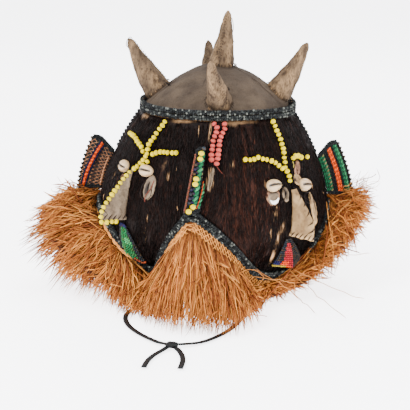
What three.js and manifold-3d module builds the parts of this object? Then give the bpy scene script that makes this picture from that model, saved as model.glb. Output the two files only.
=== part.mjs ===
import * as THREE from "three";
import { mergeVertices } from "three/addons/utils/BufferGeometryUtils.js";
import Module from "manifold-3d";

// A four-faced helmet mask of hide on a light frame, with horns, beaded ears and a raffia fringe.
// Millimetres, +Z up, standing on the fringe at Z = 0. An azimuth is in degrees round the axis:
// 0 is the front corner between two faces, towards -Y, and 90 is the right corner, towards +X.

const gap = 0.3; // between pieces that touch
const corners = { front: 0, right: 90, back: 180, left: 270 };

const body = {
  widest: 141.7, // radius
  widestZ: 99,
  collarZ: 238,
  collarInset: 55.3,
  shoulder: 1.84, // the power by which the surface draws in towards the collar
  chinZ: 35,
  chinInset: 26,
  tuck: 0.6, // below the chin the surface draws in by this much per millimetre
  cornerSwell: 0.02, // of the radius, dying away towards the collar
  shift: -1, // of the axis at the widest level
  lean: 5, // the collar stands this far to the right of it
  wall: 5,
  rows: 5,
};

// The hand-cut lower edge of the hide, as azimuth and height. Each face has a chin, and between
// two faces the edge rises to a peak.
const hem = [
  [-4, 133], [4, 121.5], [10, 109], [17, 92], [23, 75], [29, 60.5], [37, 49], [48, 44.5], [60, 46],
  [66, 53], [69.5, 64], [72.5, 84], [80, 99], [86, 115], [90, 121],
  [98, 104], [107, 80], [116, 56], [126, 43], [136, 40], [147, 45], [157, 62], [167, 88], [178, 122],
  [187, 108], [196, 80], [206, 54], [216, 42], [226, 40], [237, 45], [248, 62], [259, 90], [268, 120],
  [282, 117], [296, 110], [304, 97.5], [311, 86], [318, 77], [325, 64.5], [330.5, 55], [335, 57],
  [338.5, 70.5], [344, 95.5], [349, 115],
];
const rim = { height: 14, thick: 8, seam: 0.8, room: 2.5 };
const collar = { low: 228, radius: 92, height: 13.8, thick: 6, hoopRadius: 83.5, knots: 24, bulge: 1 };
const dome = { radius: 88.5, skirt: 8, height: 48, power: 1.75, wall: 3, rings: 4 };

// Horns lean out from the dome. Side is how far the tip swings round towards the next azimuth.
const hornSeat = 75;
const horns = {
  front: { azimuth: 8.5, seat: hornSeat, base: 15, out: 34, side: -12, up: 52 },
  right: { azimuth: 92, seat: hornSeat, base: 16.5, out: 35, side: 0, up: 61 },
  back: { azimuth: 192, seat: hornSeat, base: 16, out: 28, side: 2.4, up: 50.5 },
  left: { azimuth: 268, seat: hornSeat, base: 18, out: 36, side: 0, up: 63 },
  crown: { azimuth: 80, seat: 4, base: 15, out: 8, side: 0, up: 64 },
};

// Ears stand in the upright plane of their corner, and the front one is folded over to the left.
// Low and high are how far an ear reaches out at its foot and at its head.
const ear = { thick: 5, rib: 0.8, arch: 4, hang: 0.06 };
const ears = {
  front: { foot: 133, head: 197, flare: 1, low: 31, high: 17, fold: -30 },
  right: { foot: 123, head: 170, flare: 21, low: 32, high: 33, fold: 0 },
  back: { foot: 126, head: 175, flare: 18, low: 31, high: 32, fold: 0 },
  left: { foot: 123, head: 170, flare: 21, low: 32, high: 38, fold: 0 },
};

// Each face is a shield between two corners. Its places are azimuths and heights.
const faces = {
  front_right: {
    nose: { azimuth: 51.5, top: 150, foot: 91, reach: 31, bluff: 0.2, beaded: false },
    mouth: { apex: 48.5, azimuth: 51.5, top: 88, foot: 57, halfWidth: 26 },
    eyes: { left: [38.4, 154.4], right: [60, 148] },
    strand: [[48.7, 224], [49.7, 195.5], [47.8, 173], [49, 156]],
    browLeft: [[21.7, 186.5], [26, 184.8], [31, 187], [38.6, 182], [43.3, 176], [47.8, 171]],
    browRight: [[47.8, 171], [54.2, 178.6], [58.7, 181.4], [63.9, 177.8], [68.8, 177.2]],
  },
  back_right: {
    nose: { azimuth: 135, top: 166, foot: 106, reach: 31, bluff: 0.1, beaded: false },
    mouth: { apex: 135, azimuth: 135, top: 99, foot: 60, halfWidth: 22 },
    eyes: { left: [125.2, 157], right: [144.8, 157] },
    strand: [[134.4, 224], [135, 201], [135, 176]],
    browLeft: [[111, 190], [121, 189], [128, 184], [135, 177]],
    browRight: [[135, 177], [142, 183], [149, 188], [158, 188]],
  },
  back_left: {
    nose: { azimuth: 225, top: 166, foot: 106, reach: 31, bluff: 0.1, beaded: true },
    mouth: { apex: 225, azimuth: 225, top: 99, foot: 60, halfWidth: 22 },
    eyes: { left: [215.2, 158], right: [234.8, 158] },
    strand: [[225.6, 224], [225, 201], [225, 176]],
    browLeft: [[202, 188], [212, 188], [218, 183], [225, 177]],
    browRight: [[225, 177], [232, 184], [239, 190], [249, 190]],
  },
  front_left: {
    nose: { azimuth: 315.5, top: 167, foot: 106, reach: 34, bluff: 0, beaded: true },
    mouth: { apex: 316, azimuth: 322, top: 102, foot: 60, halfWidth: 20 },
    eyes: { left: [308.1, 167], right: [327, 168.5] },
    strand: [[328.9, 224], [324.5, 206], [322.8, 196], [324.6, 182], [319.2, 168.4]],
    browLeft: [[296.1, 202], [301.8, 201.7], [310.3, 197.6], [318.5, 190.8], [324.6, 181]],
    browRight: [[324.6, 181], [329.5, 188.2], [335.2, 191.2], [344.9, 191.6]],
  },
};
const nose = { halfTop: 3, halfWidth: 8, skin: 1.6, steepness: 1.15 };
const brow = { bead: 2.7, thread: 1.2, pitch: 6.1 };
const eye = { length: 20, width: 14.5, height: 8 };
const mouth = { halfTop: 3, reach: 16, skin: 2 };
const pinkStrands = {
  pink_beads_left: [[4, 224.5], [6.8, 218.6], [4.6, 206], [4.2, 186]],
  pink_beads_right: [[11.5, 224.5], [12, 219.6], [9.4, 211], [8.3, 200.5], [6.8, 181]],
};
const pinkBead = { bead: 3, thread: 1.3, pitch: 5.2 };

// The fringe splays from the rim. For each azimuth: the radius and height of its highest tips, the
// radius and height of its farthest tips, and those of the tips underneath.
const fringe = {
  strip: 14, // the flat underside's width
  root: 6,
  shoulder: 7,
  rise: 7,
  tips: {
    0: { high: [192, 36], far: [208, 12], low: [192, 0] },
    45: { high: [127, 24], far: [134, 10], low: [127, 0] },
    90: { high: [198, 138], far: [204, 102], low: [160, 50] },
    135: { high: [152, 28], far: [163, 12], low: [146, 0] },
    180: { high: [186, 34], far: [197, 14], low: [178, 0] },
    225: { high: [158, 30], far: [170, 14], low: [150, 0] },
    270: { high: [196, 114], far: [240, 72], low: [186, 14] },
    315: { high: [164, 30], far: [176, 14], low: [152, 0] },
  },
};

// The black strap: two strands from inside the rim to a knot, and its two tails, all on the ground.
const strap = { radius: 3, channel: 4.6, sides: 8, stride: 20, knot: [-18, -252, 5], knotSize: [9, 7, 4.9] };
const strapRoutes = {
  strap_left: [
    [-80, -92, 82], [-73, -84, 77], [-66, -76, 66], [-61, -70, 48], [-59, -68, 28], [-60, -71, 10],
    [-63, -77, 4.6], [-68, -90, 3.1], [-76, -107, 3], [-86, -136, 3], [-86, -162, 3], [-76, -190, 3],
    [-58, -216, 3], [-36, -238, 3],
    strap.knot,
  ],
  strap_right: [
    [90, -84, 72], [83, -78, 67], [74, -71, 56], [66, -64, 40], [59, -61, 22], [57, -65, 9],
    [57, -71, 4.4], [56, -86, 3.05], [54, -116, 3], [49, -150, 3], [42, -182, 3], [30, -210, 3],
    [12, -234, 3],
    strap.knot,
  ],
  strap_tail_left: [
    strap.knot, [-26, -264, 3.2], [-33, -280, 3], [-37, -298, 3], [-38, -318, 3],
  ],
  strap_tail_right: [
    strap.knot, [-8, -263, 3.2], [-2, -279, 3], [1, -297, 3], [1, -317, 3],
  ],
};

const colours = {
  fur: 0x2e1c16,
  cloth: 0x7d7064,
  hornCloth: 0x967d64,
  braid: 0x373e42,
  earWeave: 0x3c6e50,
  hide: 0xc8b496,
  shell: 0xe1cdb4,
  yellow: 0xebe15a,
  pink: 0xbe645f,
  mouthBeads: 0x7a2c34,
  raffia: 0xc88750,
  ribbon: 0x141818,
};

const rad = THREE.MathUtils.degToRad;
const wasm = await Module();
wasm.setup();
const mask = new THREE.Group();

// The body's surface

function axisX(z) {
  return body.shift + (body.lean * (z - body.widestZ)) / (body.collarZ - body.widestZ);
}

function bodyRadius(azimuth, z) {
  const rise = Math.max(0, (z - body.widestZ) / (body.collarZ - body.widestZ));
  const level = Math.max(z, body.chinZ);
  const fall = Math.max(0, (body.widestZ - level) / (body.widestZ - body.chinZ));
  const profile = body.widest - body.collarInset * rise ** body.shoulder - body.chinInset * fall ** 2;
  const swell = body.cornerSwell * (1 - rise);
  return (profile - body.tuck * (level - z)) * (1 + swell * Math.cos(rad(4 * azimuth)));
}

function around(azimuth, radius, z) {
  const a = rad(azimuth);
  return new THREE.Vector3(axisX(z) + radius * Math.sin(a), -radius * Math.cos(a), z);
}

function outward(azimuth) {
  return new THREE.Vector3(Math.sin(rad(azimuth)), -Math.cos(rad(azimuth)), 0);
}

function onBody(azimuth, z, out = 0) {
  const up = onUpright(azimuth, z + 1).sub(onUpright(azimuth, z - 1)).normalize();
  const across = new THREE.Vector3(Math.cos(rad(azimuth)), Math.sin(rad(azimuth)), 0);
  return onUpright(azimuth, z).addScaledVector(across.cross(up).normalize(), out);
}

function onUpright(azimuth, z) {
  return around(azimuth, bodyRadius(azimuth, z), z);
}

// The height of the hide's lower edge at an azimuth.
function rimZ(azimuth) {
  const a = azimuth < hem[0][0] + 360 ? azimuth : azimuth - 360;
  const next = hem.findIndex(([end]) => a < end);
  const [start, high] = hem.at(next - 1);
  const [end, low] = next > 0 ? hem[next] : [hem[0][0] + 360, hem[0][1]];
  return high + ((low - high) * (a - start)) / (end - start);
}

function domeZ(radius) {
  return collar.low + gap + dome.skirt + dome.height * (1 - (radius / dome.radius) ** dome.power);
}

// Making and joining solids

function bare(geometry) {
  geometry.deleteAttribute("normal");
  geometry.deleteAttribute("uv");
  return mergeVertices(geometry, 1e-3);
}

function solid(geometry) {
  const g = bare(geometry);
  return new wasm.Manifold(
    new wasm.Mesh({
      numProp: 3,
      vertProperties: g.attributes.position.array,
      triVerts: new Uint32Array(g.index.array),
    }),
  );
}

function geometryOf(manifold) {
  const made = manifold.getMesh();
  const geometry = new THREE.BufferGeometry();
  geometry.setAttribute("position", new THREE.BufferAttribute(made.vertProperties, 3));
  geometry.setIndex(new THREE.BufferAttribute(made.triVerts, 1));
  geometry.computeVertexNormals();
  return geometry;
}

// Moves every point of a geometry to place(x, y, z).
function warp(geometry, place) {
  const p = geometry.attributes.position;
  for (let i = 0; i < p.count; i++) {
    const to = place(p.getX(i), p.getY(i), p.getZ(i));
    p.setXYZ(i, to.x, to.y, to.z);
  }
  geometry.computeVertexNormals();
  return geometry;
}

function add(name, geometry, colour, roughness = 0.9) {
  const material = new THREE.MeshStandardMaterial({ color: colour, roughness, metalness: 0 });
  const mesh = new THREE.Mesh(geometry, material);
  mesh.name = name;
  mask.add(mesh);
}

// A closed ring round the axis, with a section at each of the given azimuths. section(azimuth) is
// its outline as points of radius and height, the same number each time, out, down and back in.
function ring(section, azimuths = hem.map(([azimuth]) => azimuth)) {
  const columns = azimuths.length;
  const sections = azimuths.map(section);
  const count = sections[0].length;
  const outline = Array.from({ length: count + 1 }, (_, i) => new THREE.Vector2(10 + count - i, i));
  return warp(new THREE.LatheGeometry(outline, columns), (x, y, z) => {
    const column = Math.round((Math.atan2(x, z) / (2 * Math.PI)) * columns + columns) % columns;
    const [radius, height] = sections[column][Math.round(Math.hypot(x, z) - 10) % count];
    return around(azimuths[column], radius, height);
  });
}

// A bar with a round section of varying radius along a curve, closed at both ends.
// radii is a list of [share of the length, radius], and facing(share) is its outward side.
function bar(curve, radii, sides, facing) {
  const profile = radii.map(([share, radius]) => new THREE.Vector2(Math.max(radius, 0), share));
  profile.unshift(new THREE.Vector2(0, radii[0][0]));
  profile.push(new THREE.Vector2(0, radii.at(-1)[0]));
  return warp(new THREE.LatheGeometry(profile, sides), (x, y, z) => {
    const tangent = curve.getTangentAt(y);
    const side = facing(y).clone().cross(tangent).normalize();
    const out = side.clone().cross(tangent);
    return curve.getPointAt(y).addScaledVector(side, x).addScaledVector(out, z);
  });
}

// Beads fused on their thread: a waist and a belly for each bead.
function beadString(points, kind) {
  const curve = new THREE.CatmullRomCurve3(points);
  const count = Math.max(2, Math.round(curve.getLength() / kind.pitch));
  const radii = [[0, kind.thread]];
  for (let i = 0; i < count; i++) {
    radii.push([(i + 0.5) / count, kind.bead]);
    radii.push([(i + 1) / count, kind.thread]);
  }
  const middle = curve.getPointAt(0.5);
  const facing = new THREE.Vector3(middle.x, middle.y, 0).normalize();
  return bar(curve, radii, 4, () => facing);
}

// Shell, dome and braids

function shellSection(azimuth) {
  const low = rimZ(azimuth);
  const high = collar.low;
  const outside = [];
  const inside = [];
  for (let i = 0; i <= body.rows; i++) {
    const z = high + ((low - high) * i) / body.rows;
    outside.push([bodyRadius(azimuth, z), z]);
    inside.unshift([bodyRadius(azimuth, z) - body.wall, z]);
  }
  inside[body.rows] = [collar.hoopRadius, high]; // the hoop that the dome stands on
  return [...outside, ...inside];
}

function domeProfile(inset) {
  const foot = domeZ(dome.radius) - dome.skirt;
  const points = [[dome.radius - inset, foot]];
  for (let i = 0; i < dome.rings; i++) {
    const radius = dome.radius * (1 - i / dome.rings);
    points.push([Math.max(radius - inset, 1), domeZ(radius) - inset]);
  }
  points.push([0, domeZ(0) - inset]);
  return points;
}

function lathe(points, segments) {
  const profile = points.map(([x, y]) => new THREE.Vector2(x, y));
  return warp(new THREE.LatheGeometry(profile, segments), (x, y, z) =>
    new THREE.Vector3(axisX(body.collarZ) + x, -z, y),
  );
}

function collarSection(azimuth) {
  const bulge = collar.bulge * Math.abs(Math.sin(rad((azimuth * collar.knots) / 2)));
  const low = collar.low + gap;
  const high = low + collar.height;
  const inner = collar.radius - collar.thick / 2 + 0.1;
  const outer = collar.radius + collar.thick / 2;
  return [
    [inner, high],
    [outer, high - 1],
    [outer + bulge, (low + high) / 2 + 2.6],
    [outer, (low + high) / 2],
    [outer + bulge, low + 1],
    [inner, low],
  ];
}

function rimSection(azimuth) {
  const high = rimZ(azimuth) - rim.seam;
  const low = high - rim.height;
  const outer = bodyRadius(azimuth, high) + 2.4;
  const lower = bodyRadius(azimuth, low) + 2.4;
  return [
    [outer - 1, high],
    [outer + 1.4, high - rim.height * 0.27],
    [(outer + lower) / 2 - 0.4, high - rim.height * 0.5],
    [lower + 1.4, low + rim.height * 0.27],
    [lower - 1, low],
    [lower - rim.thick, low],
    [outer - rim.thick, high],
  ];
}

add("helmet_shell", ring(shellSection), colours.fur);
const domeShell = lathe([...domeProfile(0), ...domeProfile(dome.wall).reverse(), domeProfile(0)[0]], 28);
add("crown_dome", domeShell, colours.cloth);
const collarColumns = Array.from({ length: 2 * collar.knots }, (_, i) => (180 * i) / collar.knots);
add("collar_braid", ring(collarSection, collarColumns), colours.braid);
add("rim_braid", ring(rimSection), colours.braid);

// Horns

// What a horn's foot is cut by: the dome and, round it, the collar braid.
const braidTop = collar.low + collar.height + 2 * gap;
const braidSide = collar.radius + collar.thick;
const braidOutline = [[0, 0], [braidSide, 0], [braidSide, braidTop], [dome.radius, braidTop]];
const hornCutter = solid(lathe([...braidOutline, ...domeProfile(-gap).slice(2)], 28));

function hornSolid(horn) {
  const seat = around(horn.azimuth, horn.seat, domeZ(horn.seat));
  const across = new THREE.Vector3(Math.cos(rad(horn.azimuth)), Math.sin(rad(horn.azimuth)), 0);
  const reach = outward(horn.azimuth).multiplyScalar(horn.out).addScaledVector(across, horn.side);
  const root = seat.clone().addScaledVector(reach, -0.2).add(new THREE.Vector3(0, 0, -12));
  const middle = seat.clone().addScaledVector(reach, 0.52).add(new THREE.Vector3(0, 0, horn.up * 0.47));
  const tip = seat.clone().add(reach).add(new THREE.Vector3(0, 0, horn.up));
  const curve = new THREE.CatmullRomCurve3([root, seat, middle, tip]);
  const taper = [0, 0.2, 0.38, 0.55, 0.72, 0.87, 0.96, 1];
  const swell = [0.98, 1, 0.84, 0.7, 0.52, 0.36, 0.27, 0.12];
  const radii = taper.map((share, i) => [share, horn.base * swell[i]]);
  return solid(bar(curve, radii, 8, () => outward(horn.azimuth))).subtract(hornCutter);
}

for (const [name, horn] of Object.entries(horns)) {
  add("horn_" + name, geometryOf(hornSolid(horn)), colours.hornCloth, 0.8);
}

// Ears

function earSolid(azimuth, place) {
  const across = new THREE.Vector3(Math.cos(rad(azimuth)), Math.sin(rad(azimuth)), 0);
  const fold = rad(place.fold);
  const columns = 10;
  return warp(new THREE.BoxGeometry(1, 1, 1, columns, 3, 1), (x, y, side) => {
    const u = x + 0.5;
    const v = y + 0.5;
    const arch = ear.arch * 6.75 * u * u * (1 - u) * v; // 6.75 makes its highest point 1
    const z = place.foot + (place.head - place.foot) * v + place.flare * u * (v - ear.hang) + arch;
    const reach = place.low + (place.high - place.low) * v;
    const rib = Math.round(u * columns) % 2 === 1 ? ear.rib : 0;
    const depth = -(ear.thick / 2 + rib) * Math.sign(side);
    const away = 0.9 + reach * u;
    return onUpright(azimuth, z)
      .addScaledVector(outward(azimuth), away * Math.cos(fold * u) + Math.abs(depth * Math.sin(fold)) + 0.6)
      .addScaledVector(across, away * Math.sin(fold * u) + depth);
  });
}

for (const [name, place] of Object.entries(ears)) {
  add("ear_" + name, earSolid(corners[name], place), colours.earWeave);
}

// Faces

// A raised wedge on a face. along(down) gives its middle's azimuth, half width and crest height at
// each share of the way from its top to its foot, which stays above the hem.
function wedge(top, foot, skin, rows, along) {
  return warp(new THREE.BoxGeometry(1, 1, 1, 2, rows, 1), (x, y, side) => {
    const down = 0.5 - y;
    const { azimuth, half, crest } = along(down);
    const swing = THREE.MathUtils.radToDeg((half * x * 2) / body.widest);
    const lowest = Math.max(foot, rimZ(azimuth + swing) + rim.room);
    const z = top - (top - lowest) * down;
    const height = side > 0 ? skin + (x === 0 ? crest : 0) : 0;
    return onBody(azimuth + swing, z, gap + 0.3 + height);
  });
}

function noseSolid({ azimuth, top, foot, reach, bluff, beaded }) {
  const along = (down) => ({
    azimuth,
    half: nose.halfTop + (nose.halfWidth - nose.halfTop) * down,
    crest: reach * Math.min(bluff + nose.steepness * down, 1),
  });
  const made = solid(wedge(top, foot, nose.skin, 4, along));
  if (!beaded) return made;
  const ridge = [0.03, 0.3, 0.6, 0.87, 0.97].map((down) =>
    onBody(azimuth, top - (top - foot) * down, nose.skin + along(down).crest + brow.bead / 2),
  );
  return made.add(solid(beadString(ridge, brow)));
}

function mouthWedge({ apex, azimuth, top, foot, halfWidth }) {
  return wedge(top, foot, mouth.skin, 3, (down) => ({
    azimuth: apex + (azimuth - apex) * down,
    half: mouth.halfTop + (halfWidth - mouth.halfTop) * down,
    crest: mouth.reach * down,
  }));
}

function cowrie([azimuth, z]) {
  const centre = onBody(azimuth, z, 0);
  const out = onBody(azimuth, z, 1).sub(centre);
  const along = new THREE.Vector3(-out.y, out.x, 0).normalize();
  const up = out.clone().cross(along);
  return warp(new THREE.SphereGeometry(1, 8, 6), (x, y, depth) => {
    const slit = depth > 0.6 && Math.abs(y) < 0.2 ? 0.7 : 1;
    const lift = Math.max(depth, -0.25) * slit * eye.height + eye.height * 0.25 + gap + 0.5;
    return centre
      .clone()
      .addScaledVector(along, (x * eye.length) / 2)
      .addScaledVector(up, (y * eye.width) / 2)
      .addScaledVector(out, lift);
  });
}

// Beads on a thread sewn down along places given as azimuth and height.
function sewnBeads(stations, kind) {
  const points = stations.map(([azimuth, z]) => onBody(azimuth, z, kind.bead + 0.7));
  return beadString(points, kind);
}

// The strand down the forehead and the two brows that branch from it.
function browBeads({ strand, browLeft, browRight }) {
  const knot = new THREE.SphereGeometry(brow.bead, 6, 4);
  knot.translate(...onBody(...browRight[0], brow.bead + 0.7));
  const lines = [strand, browLeft, browRight].map((line) => solid(sewnBeads(line, brow)));
  return lines.reduce((made, line) => made.add(line), solid(knot));
}

for (const [name, face] of Object.entries(faces)) {
  const noseMade = noseSolid(face.nose);
  const beads = browBeads(face).subtract(noseMade);
  add("nose_" + name, geometryOf(noseMade), colours.hide);
  add("mouth_" + name, mouthWedge(face.mouth), colours.mouthBeads, 0.5);
  add("brow_beads_" + name, geometryOf(beads), colours.yellow, 0.4);
  add("eye_" + name + "_left", cowrie(face.eyes.left), colours.shell, 0.3);
  add("eye_" + name + "_right", cowrie(face.eyes.right), colours.shell, 0.3);
}

for (const [name, strand] of Object.entries(pinkStrands)) {
  add(name, sewnBeads(strand, pinkBead), colours.pink, 0.5);
}

// Fringe

const tipStep = 45;

// The tips' places at any azimuth, eased between the stated ones.
function tipsAt(azimuth) {
  const turned = (azimuth + 360) % 360;
  const from = Math.floor(turned / tipStep) * tipStep;
  const t = (1 - Math.cos((Math.PI * (turned - from)) / tipStep)) / 2;
  const a = fringe.tips[from % 360];
  const b = fringe.tips[(from + tipStep) % 360];
  const mix = (key) => a[key].map((value, i) => value + (b[key][i] - value) * t);
  return { high: mix("high"), far: mix("far"), low: mix("low") };
}

function fringeSection(azimuth) {
  const tips = tipsAt(azimuth);
  const top = rimZ(azimuth) - rim.height - 2.8 * rim.seam;
  const radius = bodyRadius(azimuth, top);
  const root = Math.max(top - fringe.root, 5);
  const shoulder = Math.min((top + tips.high[1]) / 2, top + fringe.rise) + fringe.shoulder;
  return [
    [radius + 2, top],
    [(radius + tips.high[0]) / 2 + 2, shoulder],
    tips.high,
    tips.far,
    tips.low,
    [tips.low[0] - fringe.strip, tips.low[1]],
    [(radius + tips.low[0] - fringe.strip) / 2 - 6, (root + tips.low[1]) / 2],
    [radius - 5.5, root],
    [radius - 5.5, top],
  ];
}

function route(name) {
  return new THREE.CatmullRomCurve3(strapRoutes[name].map((p) => new THREE.Vector3(...p)));
}

function tube(curve, radius, sides) {
  const section = new THREE.Shape(
    Array.from({ length: sides }, (_, i) => {
      const a = (2 * Math.PI * (i + 0.5)) / sides;
      return new THREE.Vector2(radius * Math.cos(a), radius * Math.sin(a));
    }),
  );
  const steps = Math.round(curve.getLength() / strap.stride);
  return new THREE.ExtrudeGeometry(section, { steps, extrudePath: curve, bevelEnabled: false });
}

let fringeSolid = solid(ring(fringeSection));
for (const name of ["strap_left", "strap_right"]) {
  fringeSolid = fringeSolid.subtract(solid(tube(route(name), strap.channel, 6)));
}
add("raffia_fringe", geometryOf(fringeSolid), colours.raffia);

// Strap

function knotSolid(grow) {
  const [x, y, z] = strap.knotSize;
  const ball = new THREE.SphereGeometry(1, 10, 7);
  ball.scale(x + grow, y + grow, z + grow);
  return ball.translate(...strap.knot);
}

const knotRoom = solid(knotSolid(gap));
for (const name of Object.keys(strapRoutes)) {
  const ribbon = solid(tube(route(name), strap.radius, strap.sides)).subtract(knotRoom);
  add(name, geometryOf(ribbon), colours.ribbon);
}
add("strap_knot", knotSolid(0), colours.ribbon);

// The mask's own box, without its strap, stands centred on the origin.
const box = new THREE.Box3();
for (const piece of mask.children.filter((child) => !child.name.startsWith("strap"))) {
  box.expandByObject(piece);
}
mask.position.set(-(box.min.x + box.max.x) / 2, -(box.min.y + box.max.y) / 2, -box.min.z);

export default mask;
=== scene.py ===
import bisect
import math
import random

import bmesh
import bpy
from mathutils import Matrix, Vector, geometry, noise


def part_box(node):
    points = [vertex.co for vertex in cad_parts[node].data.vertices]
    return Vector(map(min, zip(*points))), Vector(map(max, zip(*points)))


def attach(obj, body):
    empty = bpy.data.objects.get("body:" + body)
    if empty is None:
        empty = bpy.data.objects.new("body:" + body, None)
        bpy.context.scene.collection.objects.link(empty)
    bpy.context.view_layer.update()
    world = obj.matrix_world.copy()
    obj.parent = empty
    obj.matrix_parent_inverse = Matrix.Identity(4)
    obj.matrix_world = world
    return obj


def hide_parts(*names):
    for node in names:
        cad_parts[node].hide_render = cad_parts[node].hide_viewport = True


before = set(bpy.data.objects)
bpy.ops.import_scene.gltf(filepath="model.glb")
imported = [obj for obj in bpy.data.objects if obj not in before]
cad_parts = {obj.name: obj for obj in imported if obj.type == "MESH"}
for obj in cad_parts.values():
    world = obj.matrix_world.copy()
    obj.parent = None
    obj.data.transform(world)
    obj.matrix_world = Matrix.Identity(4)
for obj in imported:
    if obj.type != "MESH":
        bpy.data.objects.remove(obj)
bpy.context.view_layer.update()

# Places are worked out in millimetres round the mask's axis, where azimuth 0 is the front corner
# and 90 the right one, and toFrame carries them into the frame.
body = {"widest": 141.7, "widestZ": 99, "collarZ": 238, "collarInset": 55.3, "shoulder": 1.84, "chinZ": 35,
        "chinInset": 26, "tuck": 0.6, "cornerSwell": 0.02, "shift": -1, "lean": 5, "wall": 4.6}
hem = [  # the hand-cut lower edge of the hide: azimuth and height
    (-4, 133), (4, 121.5), (10, 109), (17, 92), (23, 75), (29, 60.5), (37, 49), (48, 44.5), (60, 46),
    (66, 53), (69.5, 64), (72.5, 84), (80, 99), (86, 115), (90, 121),
    (98, 104), (107, 80), (116, 56), (126, 43), (136, 40), (147, 45), (157, 62), (167, 88), (178, 122),
    (187, 108), (196, 80), (206, 54), (216, 42), (226, 40), (237, 45), (248, 62), (259, 90), (268, 120),
    (282, 117), (296, 110), (304, 97.5), (311, 86), (318, 77), (325, 64.5), (330.5, 55), (335, 57),
    (338.5, 70.5), (344, 95.5), (349, 115),
]
rim = {"height": 14, "seam": 0.8}
collar = {"low": 228.3, "radius": 92, "height": 13.8, "droop": 4.5}
dome = {"radius": 88.5, "skirt": 8, "height": 48, "power": 1.75, "wall": 2.6}


def axisX(z):
    return body["shift"] + body["lean"] * (z - body["widestZ"]) / (body["collarZ"] - body["widestZ"])


domeLow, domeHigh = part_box("crown_dome")
millimetre = 0.001
middleX = (domeLow[0] + domeHigh[0]) / 2 - axisX(body["collarZ"]) * millimetre
middleY = (domeLow[1] + domeHigh[1]) / 2
toFrame = Matrix.Translation((middleX, middleY, 0)) @ Matrix.Scale(millimetre, 4)


def bodyRadius(azimuth, z):
    rise = max(0.0, (z - body["widestZ"]) / (body["collarZ"] - body["widestZ"]))
    level = max(z, body["chinZ"])
    fall = max(0.0, (body["widestZ"] - level) / (body["widestZ"] - body["chinZ"]))
    profile = body["widest"] - body["collarInset"] * rise ** body["shoulder"] - body["chinInset"] * fall ** 2
    swell = body["cornerSwell"] * (1 - rise)
    return (profile - body["tuck"] * (level - z)) * (1 + swell * math.cos(math.radians(4 * azimuth)))


def around(azimuth, radius, z):
    a = math.radians(azimuth)
    return Vector((axisX(z) + radius * math.sin(a), -radius * math.cos(a), z))


def outward(azimuth):
    a = math.radians(azimuth)
    return Vector((math.sin(a), -math.cos(a), 0))


def across(azimuth):
    a = math.radians(azimuth)
    return Vector((math.cos(a), math.sin(a), 0))


def bodyFrame(azimuth, z):  # a place on the body, with the ways across, up and out of it
    place = around(azimuth, bodyRadius(azimuth, z), z)
    up = (around(azimuth, bodyRadius(azimuth, z + 1), z + 1) - place).normalized()
    side = across(azimuth)
    return place, side, up, side.cross(up).normalized()


def onBody(azimuth, z, out=0.0):
    place, _, _, away = bodyFrame(azimuth, z)
    return place + away * out


def hemSlope(i):  # level at a peak or a chin, and between its neighbours' slopes elsewhere
    before, here, after = hem[i - 1], hem[i], hem[(i + 1) % len(hem)]
    rising = (here[1] - before[1]) / ((here[0] - before[0]) % 360)
    leaving = (after[1] - here[1]) / ((after[0] - here[0]) % 360)
    return 2 * rising * leaving / (rising + leaving) if rising * leaving > 0 else 0.0


hemStarts = [azimuth for azimuth, _ in hem]
hemSlopes = [hemSlope(i) for i in range(len(hem))]


def rimZ(azimuth):  # the hem as a smooth line through its stations
    a = (azimuth - hemStarts[0]) % 360 + hemStarts[0]
    i = bisect.bisect_right(hemStarts, a) - 1
    j = (i + 1) % len(hem)
    span = (hemStarts[j] - hemStarts[i]) % 360
    t = (a - hemStarts[i]) / span
    level = hem[i][1] * (1 + 2 * t) * (1 - t) ** 2 + hem[j][1] * t * t * (3 - 2 * t)
    return level + span * (hemSlopes[i] * t * (1 - t) ** 2 - hemSlopes[j] * t * t * (1 - t))


def domeZ(radius):
    return collar["low"] + dome["skirt"] + dome["height"] * (1 - (radius / dome["radius"]) ** dome["power"])


def mix(a, b, share):
    return a + (b - a) * share


def srgb(red, green, blue):
    levels = (value / 255 for value in (red, green, blue))
    return (*(((v + 0.055) / 1.055) ** 2.4 if v > 0.04 else v / 12.92 for v in levels), 1.0)


def shaded(colour, amount):  # the same colour, darker below 1 and lighter above
    return (*(min(channel * amount, 1.0) for channel in colour[:3]), 1.0)


# Camera, light and floor

camera = {"place": (189.9, -1638.6, 514.5), "target": (-11.1, -1.4, 103.2), "lens": 117.53}
studio = {
    "floor": 6.0, "floorColour": srgb(251, 251, 253), "floorGlow": 3.9, "sky": srgb(250, 251, 255), "skyPower": 2.1,
    "lamps": [
        {"name": "keyLight", "place": (-0.9, -1.5, 1.9), "size": 0.9, "power": 95},
        {"name": "fillLight", "place": (1.7, -1.2, 1.2), "size": 1.2, "power": 40},
        {"name": "backLight", "place": (0.3, 1.6, 1.8), "size": 1.2, "power": 40},
    ],
}


def makeCamera():
    data = bpy.data.cameras.new("camera")
    data.lens = camera["lens"]
    data.clip_end = 50
    seer = bpy.data.objects.new("camera", data)
    bpy.context.collection.objects.link(seer)
    place = toFrame @ Vector(camera["place"])
    target = toFrame @ Vector(camera["target"])
    seer.location = place
    seer.rotation_euler = (target - place).to_track_quat("-Z", "Y").to_euler()
    bpy.context.scene.camera = seer


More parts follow.
